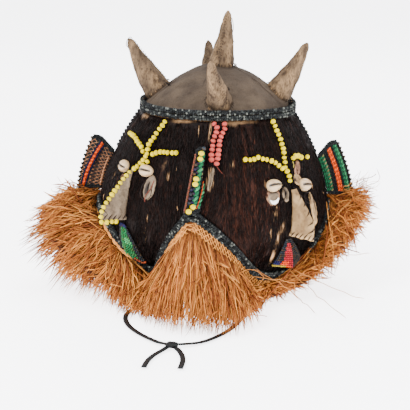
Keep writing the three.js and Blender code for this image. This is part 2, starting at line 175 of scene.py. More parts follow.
def makeStudio():
    bm = bmesh.new()
    bmesh.ops.create_circle(bm, cap_ends=True, segments=96, radius=studio["floor"])
    mesh = bpy.data.meshes.new("floor")
    bm.to_mesh(mesh)
    bm.free()
    floor = bpy.data.objects.new("floor", mesh)
    bpy.context.collection.objects.link(floor)
    material = bpy.data.materials.new("floorPaint")
    material.use_nodes = True
    paint = material.node_tree.nodes["Principled BSDF"]
    paint.inputs["Base Color"].default_value = studio["floorColour"]
    paint.inputs["Roughness"].default_value = 0.85
    paint.inputs["Emission Color"].default_value = studio["floorColour"]
    paint.inputs["Emission Strength"].default_value = studio["floorGlow"]
    mesh.materials.append(material)
    world = bpy.data.worlds.new("studio")
    world.use_nodes = True
    world.node_tree.nodes["Background"].inputs["Color"].default_value = studio["sky"]
    world.node_tree.nodes["Background"].inputs["Strength"].default_value = studio["skyPower"]
    bpy.context.scene.world = world
    for lamp in studio["lamps"]:
        light = bpy.data.lights.new(lamp["name"], "AREA")
        light.energy = lamp["power"]
        light.size = lamp["size"]
        holder = bpy.data.objects.new(lamp["name"], light)
        holder.location = lamp["place"]
        aim = Vector((0, 0, 0.15)) - Vector(lamp["place"])
        holder.rotation_euler = aim.to_track_quat("-Z", "Y").to_euler()
        bpy.context.collection.objects.link(holder)


makeCamera()
makeStudio()
print("camera, light and floor")


# Effects that several materials share, as node groups

def addNode(tree, kind, **settings):
    made = tree.nodes.new(kind)
    for name, value in settings.items():
        setattr(made, name, value)
    return made


def newGroup(name, inputs, outputs):
    tree = bpy.data.node_groups.new(name, "ShaderNodeTree")
    for label, kind, value in inputs:
        socket = tree.interface.new_socket(name=label, in_out="INPUT", socket_type=kind)
        if value is not None:
            socket.default_value = value
    for label, kind in outputs:
        tree.interface.new_socket(name=label, in_out="OUTPUT", socket_type=kind)
    return tree, tree.nodes.new("NodeGroupInput"), tree.nodes.new("NodeGroupOutput")


def makeMottle():  # soft blotches between two limits
    tree, given, result = newGroup(
        "mottle",
        [("Vector", "NodeSocketVector", None), ("Scale", "NodeSocketFloat", 50.0),
         ("Detail", "NodeSocketFloat", 4.0), ("Low", "NodeSocketFloat", 0.4), ("High", "NodeSocketFloat", 0.6)],
        [("Mask", "NodeSocketFloat")])
    field = addNode(tree, "ShaderNodeTexNoise")
    limits = addNode(tree, "ShaderNodeMapRange")
    tree.links.new(given.outputs["Vector"], field.inputs["Vector"])
    tree.links.new(given.outputs["Scale"], field.inputs["Scale"])
    tree.links.new(given.outputs["Detail"], field.inputs["Detail"])
    tree.links.new(field.outputs["Fac"], limits.inputs["Value"])
    tree.links.new(given.outputs["Low"], limits.inputs["From Min"])
    tree.links.new(given.outputs["High"], limits.inputs["From Max"])
    tree.links.new(limits.outputs["Result"], result.inputs["Mask"])
    return tree


def makeWeave():  # two crossing threads, with their height
    tree, given, result = newGroup(
        "weave",
        [("Vector", "NodeSocketVector", None), ("Threads", "NodeSocketFloat", 700.0),
         ("Unevenness", "NodeSocketFloat", 3.0)],
        [("Height", "NodeSocketFloat")])
    heights = []
    for way in ("X", "Z"):
        wave = addNode(tree, "ShaderNodeTexWave", wave_type="BANDS", bands_direction=way)
        tree.links.new(given.outputs["Vector"], wave.inputs["Vector"])
        tree.links.new(given.outputs["Threads"], wave.inputs["Scale"])
        tree.links.new(given.outputs["Unevenness"], wave.inputs["Distortion"])
        heights.append(wave)
    both = addNode(tree, "ShaderNodeMath", operation="ADD")
    tree.links.new(heights[0].outputs["Fac"], both.inputs[0])
    tree.links.new(heights[1].outputs["Fac"], both.inputs[1])
    tree.links.new(both.outputs["Value"], result.inputs["Height"])
    return tree


groups = {"mottle": makeMottle(), "weave": makeWeave()}


class Finish:  # a material under construction: its tree, its shader and its last colour
    def __init__(self, name, roughness=0.8, **sockets):
        self.material = bpy.data.materials.new(name)
        self.material.use_nodes = True
        self.tree = self.material.node_tree
        self.shader = self.tree.nodes["Principled BSDF"]
        self.shader.inputs["Roughness"].default_value = roughness
        for label, value in sockets.items():
            self.shader.inputs[label.replace("_", " ")].default_value = value
        self.place = addNode(self.tree, "ShaderNodeTexCoord").outputs["Object"]
        self.colour = None

    def stretched(self, x, y, z):  # the object's own places, stretched along an axis
        mapping = addNode(self.tree, "ShaderNodeMapping")
        mapping.inputs["Scale"].default_value = (x, y, z)
        self.tree.links.new(self.place, mapping.inputs["Vector"])
        return mapping.outputs["Vector"]

    def mottle(self, scale, low=0.4, high=0.6, detail=4.0, place=None):
        node = addNode(self.tree, "ShaderNodeGroup", node_tree=groups["mottle"])
        self.tree.links.new(place or self.place, node.inputs["Vector"])
        for label, value in (("Scale", scale), ("Detail", detail), ("Low", low), ("High", high)):
            node.inputs[label].default_value = value
        return node.outputs["Mask"]

    def weave(self, threads, unevenness=3.0, place=None):
        node = addNode(self.tree, "ShaderNodeGroup", node_tree=groups["weave"])
        self.tree.links.new(place or self.place, node.inputs["Vector"])
        node.inputs["Threads"].default_value = threads
        node.inputs["Unevenness"].default_value = unevenness
        return node.outputs["Height"]

    def attribute(self, name, output="Color"):
        return addNode(self.tree, "ShaderNodeAttribute", attribute_name=name).outputs[output]

    def start(self, colour):  # a colour, or a socket that gives one
        self.colour = colour

    def tint(self, colour, mask, share=1.0, blend="MIX"):
        node = addNode(self.tree, "ShaderNodeMix", data_type="RGBA", blend_type=blend)
        factor = mask
        if share < 1.0:
            times = addNode(self.tree, "ShaderNodeMath", operation="MULTIPLY")
            self.tree.links.new(mask, times.inputs[0])
            times.inputs[1].default_value = share
            factor = times.outputs["Value"]
        self.tree.links.new(factor, node.inputs["Factor"])
        for value, socket in ((self.colour, node.inputs[6]), (colour, node.inputs[7])):
            if isinstance(value, tuple):
                socket.default_value = value
            else:
                self.tree.links.new(value, socket)
        self.colour = node.outputs[2]

    def bump(self, height, strength, distance, normal=None):
        node = addNode(self.tree, "ShaderNodeBump")
        node.inputs["Strength"].default_value = strength
        node.inputs["Distance"].default_value = distance
        self.tree.links.new(height, node.inputs["Height"])
        if normal is not None:
            self.tree.links.new(normal, node.inputs["Normal"])
        return node.outputs["Normal"]

    def done(self, normal=None):
        if isinstance(self.colour, tuple):
            self.shader.inputs["Base Color"].default_value = self.colour
        else:
            self.tree.links.new(self.colour, self.shader.inputs["Base Color"])
        if normal is not None:
            self.tree.links.new(normal, self.shader.inputs["Normal"])
        return self.material


def makeHairMaterial(name, tones):
    # dark hair, run through with redder and paler streaks
    finish = Finish(name, roughness=0.5, Specular_IOR_Level=0.04)
    finish.start(tones["dark"])
    streaks = finish.stretched(1, 1, 0.1)
    finish.tint(tones["middle"], finish.mottle(330, 0.42, 0.66, place=streaks))
    finish.tint(tones["red"], finish.attribute("warm", "Fac"), 0.6)
    finish.tint(tones["dark"], finish.mottle(520, 0.5, 0.66, place=streaks))
    finish.tint(tones["hide"], finish.attribute("bare", "Fac"))
    grooves = finish.mottle(800, 0.3, 0.7, place=streaks)
    return finish.done(finish.bump(grooves, 0.4, 0.0006))


def makeThreadMaterial(name, fuzz=0.45, roughness=0.75, scale=900):
    # thread dyed in the colours that the mesh carries
    finish = Finish(name, roughness=roughness, Specular_IOR_Level=0.08)
    finish.start(finish.attribute("dye"))
    finish.tint(srgb(6, 6, 6), finish.mottle(scale, 0.48, 0.66, 2.0), fuzz)
    finish.tint(srgb(120, 116, 104), finish.mottle(scale * 0.8, 0.64, 0.76, 2.0), fuzz * 0.5)
    return finish.done(finish.bump(finish.mottle(scale * 1.4, 0.3, 0.7), 0.4, 0.0005))


def makeBeadMaterial(name, roughness=0.25, dirt=0.45):
    # glass beads in the colours that the mesh carries, duller where handled
    finish = Finish(name, roughness=roughness, Specular_IOR_Level=0.05)
    finish.start(finish.attribute("dye"))
    finish.tint(srgb(96, 66, 8), finish.mottle(330, 0.5, 0.72, 3.0), dirt)
    rough = addNode(finish.tree, "ShaderNodeMapRange")
    finish.tree.links.new(finish.mottle(420, 0.35, 0.7), rough.inputs["Value"])
    rough.inputs["To Min"].default_value = roughness
    rough.inputs["To Max"].default_value = roughness + 0.3
    finish.tree.links.new(rough.outputs["Result"], finish.shader.inputs["Roughness"])
    return finish.done(finish.bump(finish.mottle(500, 0.3, 0.7), 0.12, 0.0004))


def makeClothMaterial(name, base, light, dark, speckle, patches, contrast=0.75, stretch=1.0):
    # old cloth: a fine weave, with broad stains and specks
    finish = Finish(name, roughness=0.9, Specular_IOR_Level=0.08)
    finish.start(base)
    drawn = finish.stretched(1, 1, stretch)
    finish.tint(light, finish.mottle(patches, 0.45, 0.65, place=drawn))
    finish.tint(dark, finish.mottle(patches * 2.3, 0.48, 0.68, place=drawn), contrast)
    finish.tint(dark, finish.mottle(speckle, 0.5, 0.66, 3.0, place=drawn), contrast * 0.8)
    # the paintedShade attribute darkens the cloth: painted shade at a hole in the crown and where a horn meets the dome
    finish.tint(dark, finish.attribute("paintedShade", "Fac"), 0.9)
    normal = finish.bump(finish.weave(560), 0.35, 0.0004)
    return finish.done(finish.bump(finish.mottle(110, 0.3, 0.7, place=drawn), 0.6, 0.0022, normal))


def makeHideMaterial(name, base, light, dark):
    # bare hide: pores, creases and grubby patches
    finish = Finish(name, roughness=0.65, Specular_IOR_Level=0.25)
    finish.start(base)
    finish.tint(light, finish.mottle(70, 0.45, 0.62))
    finish.tint(dark, finish.mottle(150, 0.52, 0.74), 0.6)
    finish.tint(dark, finish.mottle(620, 0.62, 0.72), 0.6)
    finish.tint(shaded(light, 1.5), finish.attribute("edge", "Fac"))
    # the paintedShade attribute darkens the hide: painted shade where a nose meets the body, in its fold and in the
    # hollows of the patches
    finish.tint(shaded(dark, 0.35), finish.attribute("paintedShade", "Fac"))
    pores = finish.mottle(900, 0.35, 0.65)
    creases = finish.mottle(190, 0.4, 0.6)
    return finish.done(finish.bump(creases, 0.45, 0.0012, finish.bump(pores, 0.2, 0.0004)))


def makeShellMaterial(name, colour, cloud):
    # glossy shell with a faint browner cloud
    finish = Finish(name, roughness=0.3, Specular_IOR_Level=0.4, Coat_Weight=0.2, Coat_Roughness=0.12)
    finish.start(colour)
    finish.tint(cloud, finish.mottle(120, 0.5, 0.72))
    # the paintedShade attribute darkens the shell: painted shade in the slit of a cowrie and in its hole
    finish.tint(srgb(24, 16, 10), finish.attribute("paintedShade", "Fac"))
    return finish.done(finish.bump(finish.mottle(300, 0.3, 0.7), 0.08, 0.0006))


def makeRaffiaMaterial(name, shade):
    # dry raffia: each fibre has its own tone, which the mesh carries
    finish = Finish(name, roughness=0.7, Specular_IOR_Level=0.12)
    finish.start(finish.attribute("dye"))
    finish.tint(srgb(58, 24, 6), finish.mottle(240, 0.5, 0.7), shade)
    finish.tint(srgb(190, 122, 48), finish.mottle(420, 0.62, 0.78), 0.3)
    return finish.done(finish.bump(finish.mottle(900, 0.3, 0.7), 0.25, 0.0004))


def makeRibbonMaterial():
    # black ribbon with a fine ribbed weave
    finish = Finish("blackRibbon", roughness=0.6, Specular_IOR_Level=0.2)
    finish.start(srgb(11, 13, 13))
    finish.tint(srgb(26, 29, 30), finish.mottle(600, 0.5, 0.75), 0.5)
    return finish.done(finish.bump(finish.weave(1500, 1.0), 0.4, 0.0003))


hairTones = {"dark": srgb(10, 6, 5), "middle": srgb(23, 13, 10), "red": srgb(50, 26, 18), "hide": srgb(178, 138, 98)}
finishes = {
    "hair": makeHairMaterial("darkHair", hairTones),
    "thread": makeThreadMaterial("dyedThread"),
    "bead": makeBeadMaterial("glassBead"),
    "crown": makeClothMaterial("crownCloth", srgb(59, 50, 42), srgb(72, 61, 50), srgb(38, 30, 24), 700, 26, 0.45),
    "horn": makeClothMaterial("hornCloth", srgb(80, 65, 50), srgb(120, 96, 70), srgb(44, 34, 26), 620, 75, 0.8, 0.45),
    "paleHide": makeHideMaterial("paleHide", srgb(118, 92, 59), srgb(148, 119, 81), srgb(62, 40, 24)),
    "greyHide": makeHideMaterial("greyHide", srgb(90, 75, 58), srgb(108, 92, 73), srgb(46, 34, 25)),
    "pinkHide": makeHideMaterial("pinkHide", srgb(84, 56, 42), srgb(120, 86, 62), srgb(44, 26, 19)),
    "lining": makeClothMaterial("sackLining", srgb(90, 66, 44), srgb(112, 84, 58), srgb(50, 34, 22), 500, 30),
    "shell": makeShellMaterial("cowrieGloss", srgb(178, 150, 112), srgb(144, 108, 72)),
    "pearl": makeShellMaterial("pearlGloss", srgb(252, 248, 242), srgb(226, 204, 190)),
    "raffia": makeRaffiaMaterial("dryRaffia", 0.35),
    "ribbon": makeRibbonMaterial(),
}
print("materials")


# Making meshes

def wrapGrid(columns, rows, place, merge=0.02):
    # a grid warped so that its width and height, both 0 to 1, go to place(u, v)
    bm = bmesh.new()
    bm.loops.layers.uv.new("UVMap")
    bmesh.ops.create_grid(bm, x_segments=columns, y_segments=rows, size=0.5, calc_uvs=True)
    for vert in bm.verts:
        vert.co = place(vert.co.x + 0.5, vert.co.y + 0.5)
    bmesh.ops.remove_doubles(bm, verts=bm.verts, dist=merge)
    return bm


def intoMesh(bm, name, smooth=True):
    bmesh.ops.transform(bm, matrix=toFrame, verts=bm.verts)
    mesh = bpy.data.meshes.new(name)
    bm.to_mesh(mesh)
    bm.free()
    if smooth:
        mesh.shade_smooth()
    return mesh


def addPiece(name, mesh, materials, nodes=()):
    piece = bpy.data.objects.new(name, mesh)
    bpy.context.collection.objects.link(piece)
    for key in materials:
        mesh.materials.append(finishes[key])
    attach(piece, "root")
    if nodes:
        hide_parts(*nodes)
    return piece


def makeSection(name, corners):
    curve = bpy.data.curves.new(name, "CURVE")
    line = curve.splines.new("POLY")
    line.points.add(len(corners) - 1)
    for point, (x, y) in zip(line.points, corners):
        point.co = (x, y, 0, 1)
    line.use_cyclic_u = True
    holder = bpy.data.objects.new(name, curve)
    bpy.context.collection.objects.link(holder)
    return holder


def roundCorners(sides):
    return [(math.cos(math.tau * i / sides), math.sin(math.tau * i / sides)) for i in range(sides)]


sections = {
    "fibre": makeSection("fibreSection", [(1, -0.4), (0, 0.65), (-1, -0.4)]),
    "hair": makeSection("hairSection", [(1, -0.2), (0, 0.4), (-1, -0.2)]),
    "thread": makeSection("threadSection", roundCorners(4)),
    "cord": makeSection("cordSection", roundCorners(6)),
    "ribbon": makeSection("ribbonSection", [(3, -0.45), (3, 0.45), (-3, 0.45), (-3, -0.45)]),
}


def strandMesh(name, lines, section, closed=False, twist="MINIMUM"):
    # lines of (points, radii, turn, colour), swept with a section into one mesh; colour may be one for each point
    curve = bpy.data.curves.new(name, "CURVE")
    curve.dimensions = "3D"
    curve.twist_mode = twist
    curve.bevel_mode = "OBJECT"
    curve.bevel_object = sections[section]
    sides = len(sections[section].data.splines[0].points)
    dyes = []
    for points, radii, turn, colour in lines:
        line = curve.splines.new("POLY")
        line.points.add(len(points) - 1)
        line.points.foreach_set("co", [value for point in points for value in (*point, 1.0)])
        line.points.foreach_set("radius", radii)
        line.points.foreach_set("tilt", [turn] * len(points))
        line.use_cyclic_u = closed
        shades = colour if isinstance(colour, list) else [colour] * len(points)
        dyes.extend(value for shade in shades for _ in range(sides) for value in shade)
    holder = bpy.data.objects.new(name, curve)
    bpy.context.collection.objects.link(holder)
    depsgraph = bpy.context.evaluated_depsgraph_get()
    mesh = bpy.data.meshes.new_from_object(holder.evaluated_get(depsgraph))
    bpy.data.objects.remove(holder)
    bpy.data.curves.remove(curve)
    dye = mesh.attributes.new("dye", "FLOAT_COLOR", "POINT")
    dye.data.foreach_set("color", dyes)
    return mesh


def closedStrands(mesh, name):  # merges each strand's ends to a point and turns its faces outward
    bm = bmesh.new()
    bm.from_mesh(mesh)
    bpy.data.meshes.remove(mesh)
    bmesh.ops.remove_doubles(bm, verts=bm.verts, dist=1e-4)
    bmesh.ops.recalc_face_normals(bm, faces=bm.faces)
    return intoMesh(bm, name)


def evenPath(place, count, closed=False):  # places and ways out, evenly spaced along place(t)
    dense = [place(i / (count * 3)) for i in range(count * 3 + 1)]
    reach = [0.0]
    for (a, _), (b, _) in zip(dense, dense[1:]):
        reach.append(reach[-1] + (b - a).length)
    path = []
    spot = 0
    for i in range(count if closed else count + 1):
        target = reach[-1] * i / count
        while spot < len(dense) - 2 and reach[spot + 1] < target:
            spot += 1
        share = (target - reach[spot]) / max(reach[spot + 1] - reach[spot], 1e-9)
        path.append((dense[spot][0].lerp(dense[spot + 1][0], share), dense[spot][1].lerp(dense[spot + 1][1], share)))
    return path, reach[-1]


def ropeLines(place, kind, colours, closed=False, samples=8):
    # strands twisted round each other along place(t)
    rough = sum((place((i + 1) / 60)[0] - place(i / 60)[0]).length for i in range(60))
    turns = max(1, round(rough / kind["pitch"]))
    count = turns * samples
    path, _ = evenPath(place, count, closed)
    total = len(path)
    lines = []
    for strand in range(kind["strands"]):
        points = []
        for i, (point, out) in enumerate(path):
            after = path[(i + 1) % total][0] if closed or i < total - 1 else point
            before = path[i - 1][0] if closed or i > 0 else point
            side = (after - before).cross(out).normalized()
            away = side.cross(after - before).normalized()
            angle = math.tau * (turns * i / count * kind["hand"] + strand / kind["strands"])
            points.append(point + (away * math.cos(angle) + side * math.sin(angle)) * kind["coil"])
        thick = [kind["thick"]] * total
        if not closed:
            thick[0] = thick[-1] = 0.0
        colour = colours[strand % len(colours)]
        lines.append((points, thick, 0.0, colour))
    return lines


def addBead(bm, place, radius, along, colour, flat=0.86, segments=12, rings=7):
    turn = along.to_track_quat("Z", "Y").to_matrix().to_4x4()
    matrix = Matrix.Translation(place) @ turn @ Matrix.Diagonal((1, 1, flat, 1))
    made = bmesh.ops.create_uvsphere(bm, u_segments=segments, v_segments=rings, radius=radius, matrix=matrix)
    dye = bm.verts.layers.float_color["dye"]
    for vert in made["verts"]:
        vert[dye] = colour


def newBeadMesh():
    bm = bmesh.new()
    bm.verts.layers.float_color.new("dye")
    return bm


def addBeads(bm, beads):  # made in small lots, since a bead is slow to add to a large mesh
    for first in range(0, len(beads), 50):
        lot = newBeadMesh()
        for place, radius, along, colour, segments, rings in beads[first:first + 50]:
            addBead(lot, place, radius, along, colour, segments=segments, rings=rings)
        mesh = bpy.data.meshes.new("lot")
        lot.to_mesh(mesh)
        lot.free()
        bm.from_mesh(mesh)
        bpy.data.meshes.remove(mesh)


# The strap: two strands of flat ribbon from inside the rim to a knot, and its tails, on the ground

strap = {"width": 0.006, "knot": (-18, -252, 5), "knotSize": (8.6, 6.6, 4.7), "pointsPerSpan": 3}
strapRoutes = {
    "strap_left": [
        (-80, -92, 82), (-73, -84, 77), (-66, -76, 66), (-61, -70, 48), (-59, -68, 28), (-60, -71, 10),
        (-63, -77, 4.6), (-68, -90, 3.1), (-76, -107, 3), (-86, -136, 3), (-86, -162, 3), (-76, -190, 3),
        (-58, -216, 3), (-36, -238, 3), (-24, -247, 4.4)],
    "strap_right": [
        (90, -84, 72), (83, -78, 67), (74, -71, 56), (66, -64, 40), (59, -61, 22), (57, -65, 9),
        (57, -71, 4.4), (56, -86, 3.05), (54, -116, 3), (49, -150, 3), (42, -182, 3), (30, -210, 3),
        (12, -234, 3), (-11, -247, 4.4)],
    "strap_tail_left": [(-22, -257, 4.2), (-26, -264, 3.2), (-33, -280, 3), (-37, -298, 3), (-38, -318, 3)],
    "strap_tail_right": [(-13, -257, 4.2), (-8, -263, 3.2), (-2, -279, 3), (1, -297, 3), (1, -317, 3)],
}


def smoothRoute(points, steps):  # a smooth line through every point
    places = [Vector(point) for point in points]
    line = []
    for i in range(len(places) - 1):
        before = places[max(i - 1, 0)]
        start, end = places[i], places[i + 1]
        after = places[min(i + 2, len(places) - 1)]
        handles = start + (end - before) / 6, end - (after - start) / 6
        line.extend(geometry.interpolate_bezier(start, *handles, end, steps + 1)[:-1])
    return [*line, places[-1]]


def pathLength(points):
    return sum((b - a).length for a, b in zip(points, points[1:]))


def makeKnot():
    x, y, z = strap["knotSize"]
    loops = []
    for tilt, size in ((0.0, 1.0), (1.1, 0.9), (2.2, 0.95)):
        points = []
        for i in range(20):
            angle = math.tau * i / 20
            local = Vector((math.cos(angle) * x * 0.62, math.sin(angle) * y * 0.62, math.sin(angle * 2 + tilt) * z * 0.4))
            points.append(Matrix.Rotation(tilt, 3, "Z") @ (local * size) + Vector(strap["knot"]))
        loops.append((points, [0.85] * 20, 0.0, srgb(24, 26, 28)))
    bm = bmesh.new()
    ring = strandMesh("knotLoops", loops, "ribbon", closed=True, twist="Z_UP")
    bm.from_mesh(ring)
    bpy.data.meshes.remove(ring)
    bmesh.ops.create_uvsphere(bm, u_segments=20, v_segments=12, radius=1,
                              matrix=Matrix.Translation(strap["knot"]) @ Matrix.Diagonal((x * 0.7, y * 0.72, z * 0.72, 1)))
    bmesh.ops.recalc_face_normals(bm, faces=bm.faces)
    for vert in bm.verts:
        vert.co.z = max(vert.co.z, 0.3)
    return addPiece("strapKnot", intoMesh(bm, "strapKnot"), ["ribbon"], ["strap_knot"])


def makeStrap():
    knot = makeKnot()
    for node, route in strapRoutes.items():
        points = smoothRoute(route, strap["pointsPerSpan"])
        mesh = strandMesh(node, [(points, [1.0] * len(points), 0.0, srgb(22, 25, 26))], "ribbon", twist="Z_UP")
        bm = bmesh.new()
        bm.from_mesh(mesh)
        bpy.data.meshes.remove(mesh)
        bmesh.ops.holes_fill(bm, edges=bm.edges, sides=0)
        bmesh.ops.recalc_face_normals(bm, faces=bm.faces)
        name = {"strap_left": "strapLeft", "strap_right": "strapRight",
                "strap_tail_left": "tailLeft", "strap_tail_right": "tailRight"}[node]
        ribbon = addPiece(name, intoMesh(bm, name, smooth=False), ["ribbon"], [node])
        path = [toFrame @ point for point in points]
        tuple(path[0])
        pathLength(path)


makeStrap()
print("strap")


# Hide: the shell of hair and bare patches

bareSpots = [  # azimuth, height, reach across and up in millimetres, how bare
    (24, 226.4, 28, 1.5, 1.0), (-18, 227.2, 22, 0.9, 0.8), (-60, 224, 12, 2, 0.35), (2.5, 216, 1.2, 9, 0.8),
    (15.7, 182, 3, 2.4, 0.45), (27.8, 180, 2, 2, 0.3), (38.4, 176.8, 1.6, 3, 0.3), (33.4, 156.5, 0.9, 6, 0.6),
    (38.7, 121, 1.6, 6, 0.9), (43.3, 105, 1.8, 6, 0.8), (40.4, 90, 2.6, 9, 0.8), (39.8, 67, 2.2, 8, 1.0),
    (31.5, 50, 1.6, 5, 0.6), (36, 98, 1.2, 8, 0.5), (-19, 165, 1.4, 7, 0.6), (-23, 179, 1.1, 4, 0.5),
    (-63, 148, 2.2, 8, 0.6), (4, 166, 4, 10, 0.8), (120, 190, 3, 8, 0.6), (150, 130, 2.5, 12, 0.6),
    (205, 175, 3, 9, 0.6), (240, 120, 2.5, 10, 0.6), (185, 226, 20, 2.0, 0.7),
]
warmPlaces = [(24, 128, 34, 60, 1.0), (25, 80, 28, 30, 0.8), (-70, 205, 10, 14, 0.5), (-22, 130, 16, 40, 0.35),
              (30, 205, 30, 20, 0.5), (155, 100, 25, 30, 0.7), (250, 190, 20, 30, 0.5)]
hair = {"tufts": 12500, "length": (10, 19), "width": 0.54, "lift": 0.75, "sway": 7}


def spotShare(spots, azimuth, z):
    share = 0.0
    for spotAzimuth, spotZ, reach, rise, strength in spots:
        dz = (z - spotZ) / rise
        if abs(dz) > 1.6:
            continue
        turn = (azimuth - spotAzimuth + 180) % 360 - 180
        dx = math.radians(turn) * 135 / reach
        far = math.hypot(dx, dz)
        share = max(share, strength * min(1.0, max(0.0, 1.5 - far)))
    return share


def makeHide():
    def place(u, v):
        azimuth = 360 * u
        high = collar["low"] - 0.4
        z = mix(rimZ(azimuth) + 0.3, high, v)
        ripple = noise.noise(Vector((math.sin(azimuth / 57.3) * 9, math.cos(azimuth / 57.3) * 9, z / 28)))
        groove = noise.noise(Vector((azimuth * 0.9, z / 30, 3.0)))
        return onBody(azimuth, z, ripple * 0.9 + groove * 0.35)

    bm = wrapGrid(320, 40, place)
    bmesh.ops.recalc_face_normals(bm, faces=bm.faces)
    for name in ("bare", "warm"):
        bm.verts.layers.float.new(name)
    bare, warm = (bm.verts.layers.float[name] for name in ("bare", "warm"))
    for vert in bm.verts:
        azimuth = math.degrees(math.atan2(vert.co.x - axisX(vert.co.z), -vert.co.y))
        vert[bare] = spotShare(bareSpots, azimuth, vert.co.z)
        vert[warm] = spotShare(warmPlaces, azimuth, vert.co.z)
    piece = addPiece("hideShell", intoMesh(bm, "hideShell"), ["hair", "lining"], ["helmet_shell"])
    wall = piece.modifiers.new("wall", "SOLIDIFY")
    wall.thickness = body["wall"] * millimetre
    wall.offset = -1
    wall.material_offset = 1


def makeTufts(name, fromAzimuth, toAzimuth, seed):
    draw = random.Random(seed)
    lines = []
    while len(lines) < hair["tufts"]:
        azimuth = draw.uniform(fromAzimuth, toAzimuth)
        z = draw.uniform(34, collar["low"] - 1)
        length = draw.uniform(*hair["length"])
        foot = z - length
        if foot < rimZ(azimuth) - 5 or z < rimZ(azimuth):
            continue
        bare = spotShare(bareSpots, azimuth, z - length * 0.5)
        if bare > draw.random() * 0.9 + 0.05:
            continue
        sway = (noise.noise(Vector((azimuth / 14, z / 40, seed))) * hair["sway"] + draw.gauss(0, 1.2)) / 135 * 57.3
        lift = hair["lift"] * draw.uniform(0.5, 1.3)
        points = [onBody(azimuth, z, -0.3), onBody(azimuth + sway * 0.5, mix(z, foot, 0.5), lift),
                  onBody(azimuth + sway, foot, lift * 0.6)]
        warm = spotShare(warmPlaces, azimuth, z - length * 0.5)
        streak = noise.noise(Vector((azimuth / 2.2, z / 60, 7.0)))
        tone = draw.random() * 0.75 + warm * 0.42 + streak * 0.5
        shade = hairTones["dark"] if tone < 0.5 else hairTones["middle"] if tone < 0.95 else hairTones["red"]
        if draw.random() < 0.0012:
            shade = hairTones["hide"]
        width = hair["width"] * draw.uniform(0.6, 1.25)
        lines.append((points, [0.0, width, 0.0], draw.uniform(-0.4, 0.4), shaded(shade, draw.uniform(0.6, 1.3))))
    mesh = closedStrands(strandMesh(name, lines, "hair"), name)
    addPiece(name, mesh, ["tuft"])


def makeTuftMaterial():  # locks of hair in the tones that the mesh carries
    finish = Finish("hairLocks", roughness=0.42, Specular_IOR_Level=0.05)
    finish.start(finish.attribute("dye"))
    finish.tint(srgb(14, 9, 8), finish.mottle(200, 0.45, 0.7, place=finish.stretched(1, 1, 0.2)), 0.5)
    return finish.done()


finishes["tuft"] = makeTuftMaterial()
makeHide()
makeTufts("hairFront", -90, 90, 11)
makeTufts("hairBack", 90, 270, 12)
print("hide and hair")


# Crown: the cloth dome, its collar braid and the horns

crown = {"hole": (-24, 66), "holeRadius": 1.7, "seams": (-14, 70, 140, 215, 290)}


def makeDome():
    axis = Vector((axisX(body["collarZ"]), 0, 0))
    bm = bmesh.new()
    radii = [dome["radius"] * (i / 30) ** 0.8 for i in range(31)]
    chain = [bm.verts.new(axis + Vector((r, 0, domeZ(r)))) for r in reversed(radii)]
    foot = bm.verts.new(axis + Vector((dome["radius"], 0, domeZ(dome["radius"]) - dome["skirt"])))
    edges = [bm.edges.new(pair) for pair in zip([foot, *chain[:-1]], chain)]
    bmesh.ops.spin(bm, geom=[foot, *chain, *edges], cent=axis, axis=(0, 0, 1), angle=math.tau, steps=120,
                   use_merge=True, use_duplicate=False)
    bmesh.ops.remove_doubles(bm, verts=bm.verts, dist=0.01)
    bmesh.ops.recalc_face_normals(bm, faces=bm.faces)
    paintedShade = bm.verts.layers.float.new("paintedShade")
    hole = around(crown["hole"][0], crown["hole"][1], domeZ(crown["hole"][1]))
    for vert in bm.verts:
        radius = (vert.co - axis).xy.length
        flat = min(1.0, radius / 30)
        angle = math.degrees(math.atan2(vert.co.x - axis.x, -vert.co.y))
        sag = noise.noise(vert.co / 30) * 1.4 + noise.noise(vert.co / 11) * 0.35
        pleat = noise.noise(Vector((angle / 9, radius / 60, 5))) * 0.8 * radius / dome["radius"]
        vert.co.z += (sag + pleat) * flat * min(1.0, (dome["radius"] - radius) / 10 + 0.2)
        # painted shade of a small hole in the cloth, which is not cut out
        near = (vert.co - hole).length
        vert[paintedShade] = max(0.0, 1 - near / 4)
    piece = addPiece("crownCloth", intoMesh(bm, "crownCloth"), ["crown", "lining"], ["crown_dome"])
    wall = piece.modifiers.new("wall", "SOLIDIFY")
    wall.thickness = dome["wall"] * millimetre
    wall.offset = -1
    wall.material_offset = 1
    piece.modifiers["wall"].use_rim = True


braid = {"pitch": 8.4, "coil": 1.35, "thick": 1.7, "strands": 2, "hand": 1}
slate = [srgb(25, 27, 28), srgb(31, 33, 33), srgb(27, 29, 29)]
# knot tones run from near black to pale grey at random; the pale ones are painted highlights on the braid
knots = {"pitch": 2.9, "size": 1.45, "spread": 1.7, "tones": [srgb(15, 16, 16), srgb(30, 32, 32), srgb(52, 55, 52), srgb(88, 90, 84)]}


def knotted(lines, seed):  # each bump of a braid with its own tone and size
    draw = random.Random(seed)
    made = []
    for points, radii, turn, colour in lines:
        tones, sizes = [], []
        while len(tones) < len(points):
            tones += [shaded(colour, draw.choice((0.35, 0.6, 0.9, 1.2, 1.6)))] * 2
            sizes += [radii[0] * draw.uniform(0.86, 1.12)] * 2
        made.append((points, sizes[:len(points)], turn, tones[:len(points)]))
    return made


def addKnots(bm, draw, place):  # a row of small knots along place(t)
    rough = sum((place((i + 1) / 60)[0] - place(i / 60)[0]).length for i in range(60))
    path, _ = evenPath(place, round(rough / knots["pitch"]), closed=True)
    beads = []
    for (point, _), (after, _) in zip(path, [*path[1:], path[0]]):
        # a random tone, the paler ones painted highlights
        tone = draw.choices(knots["tones"], (5, 4, 3, 2))[0]
        spot = point + Vector((draw.gauss(0, 0.25), draw.gauss(0, 0.25), draw.gauss(0, 0.3)))
        beads.append((spot, knots["size"] * draw.uniform(0.85, 1.15), after - point, tone, 6, 4))
    addBeads(bm, beads)


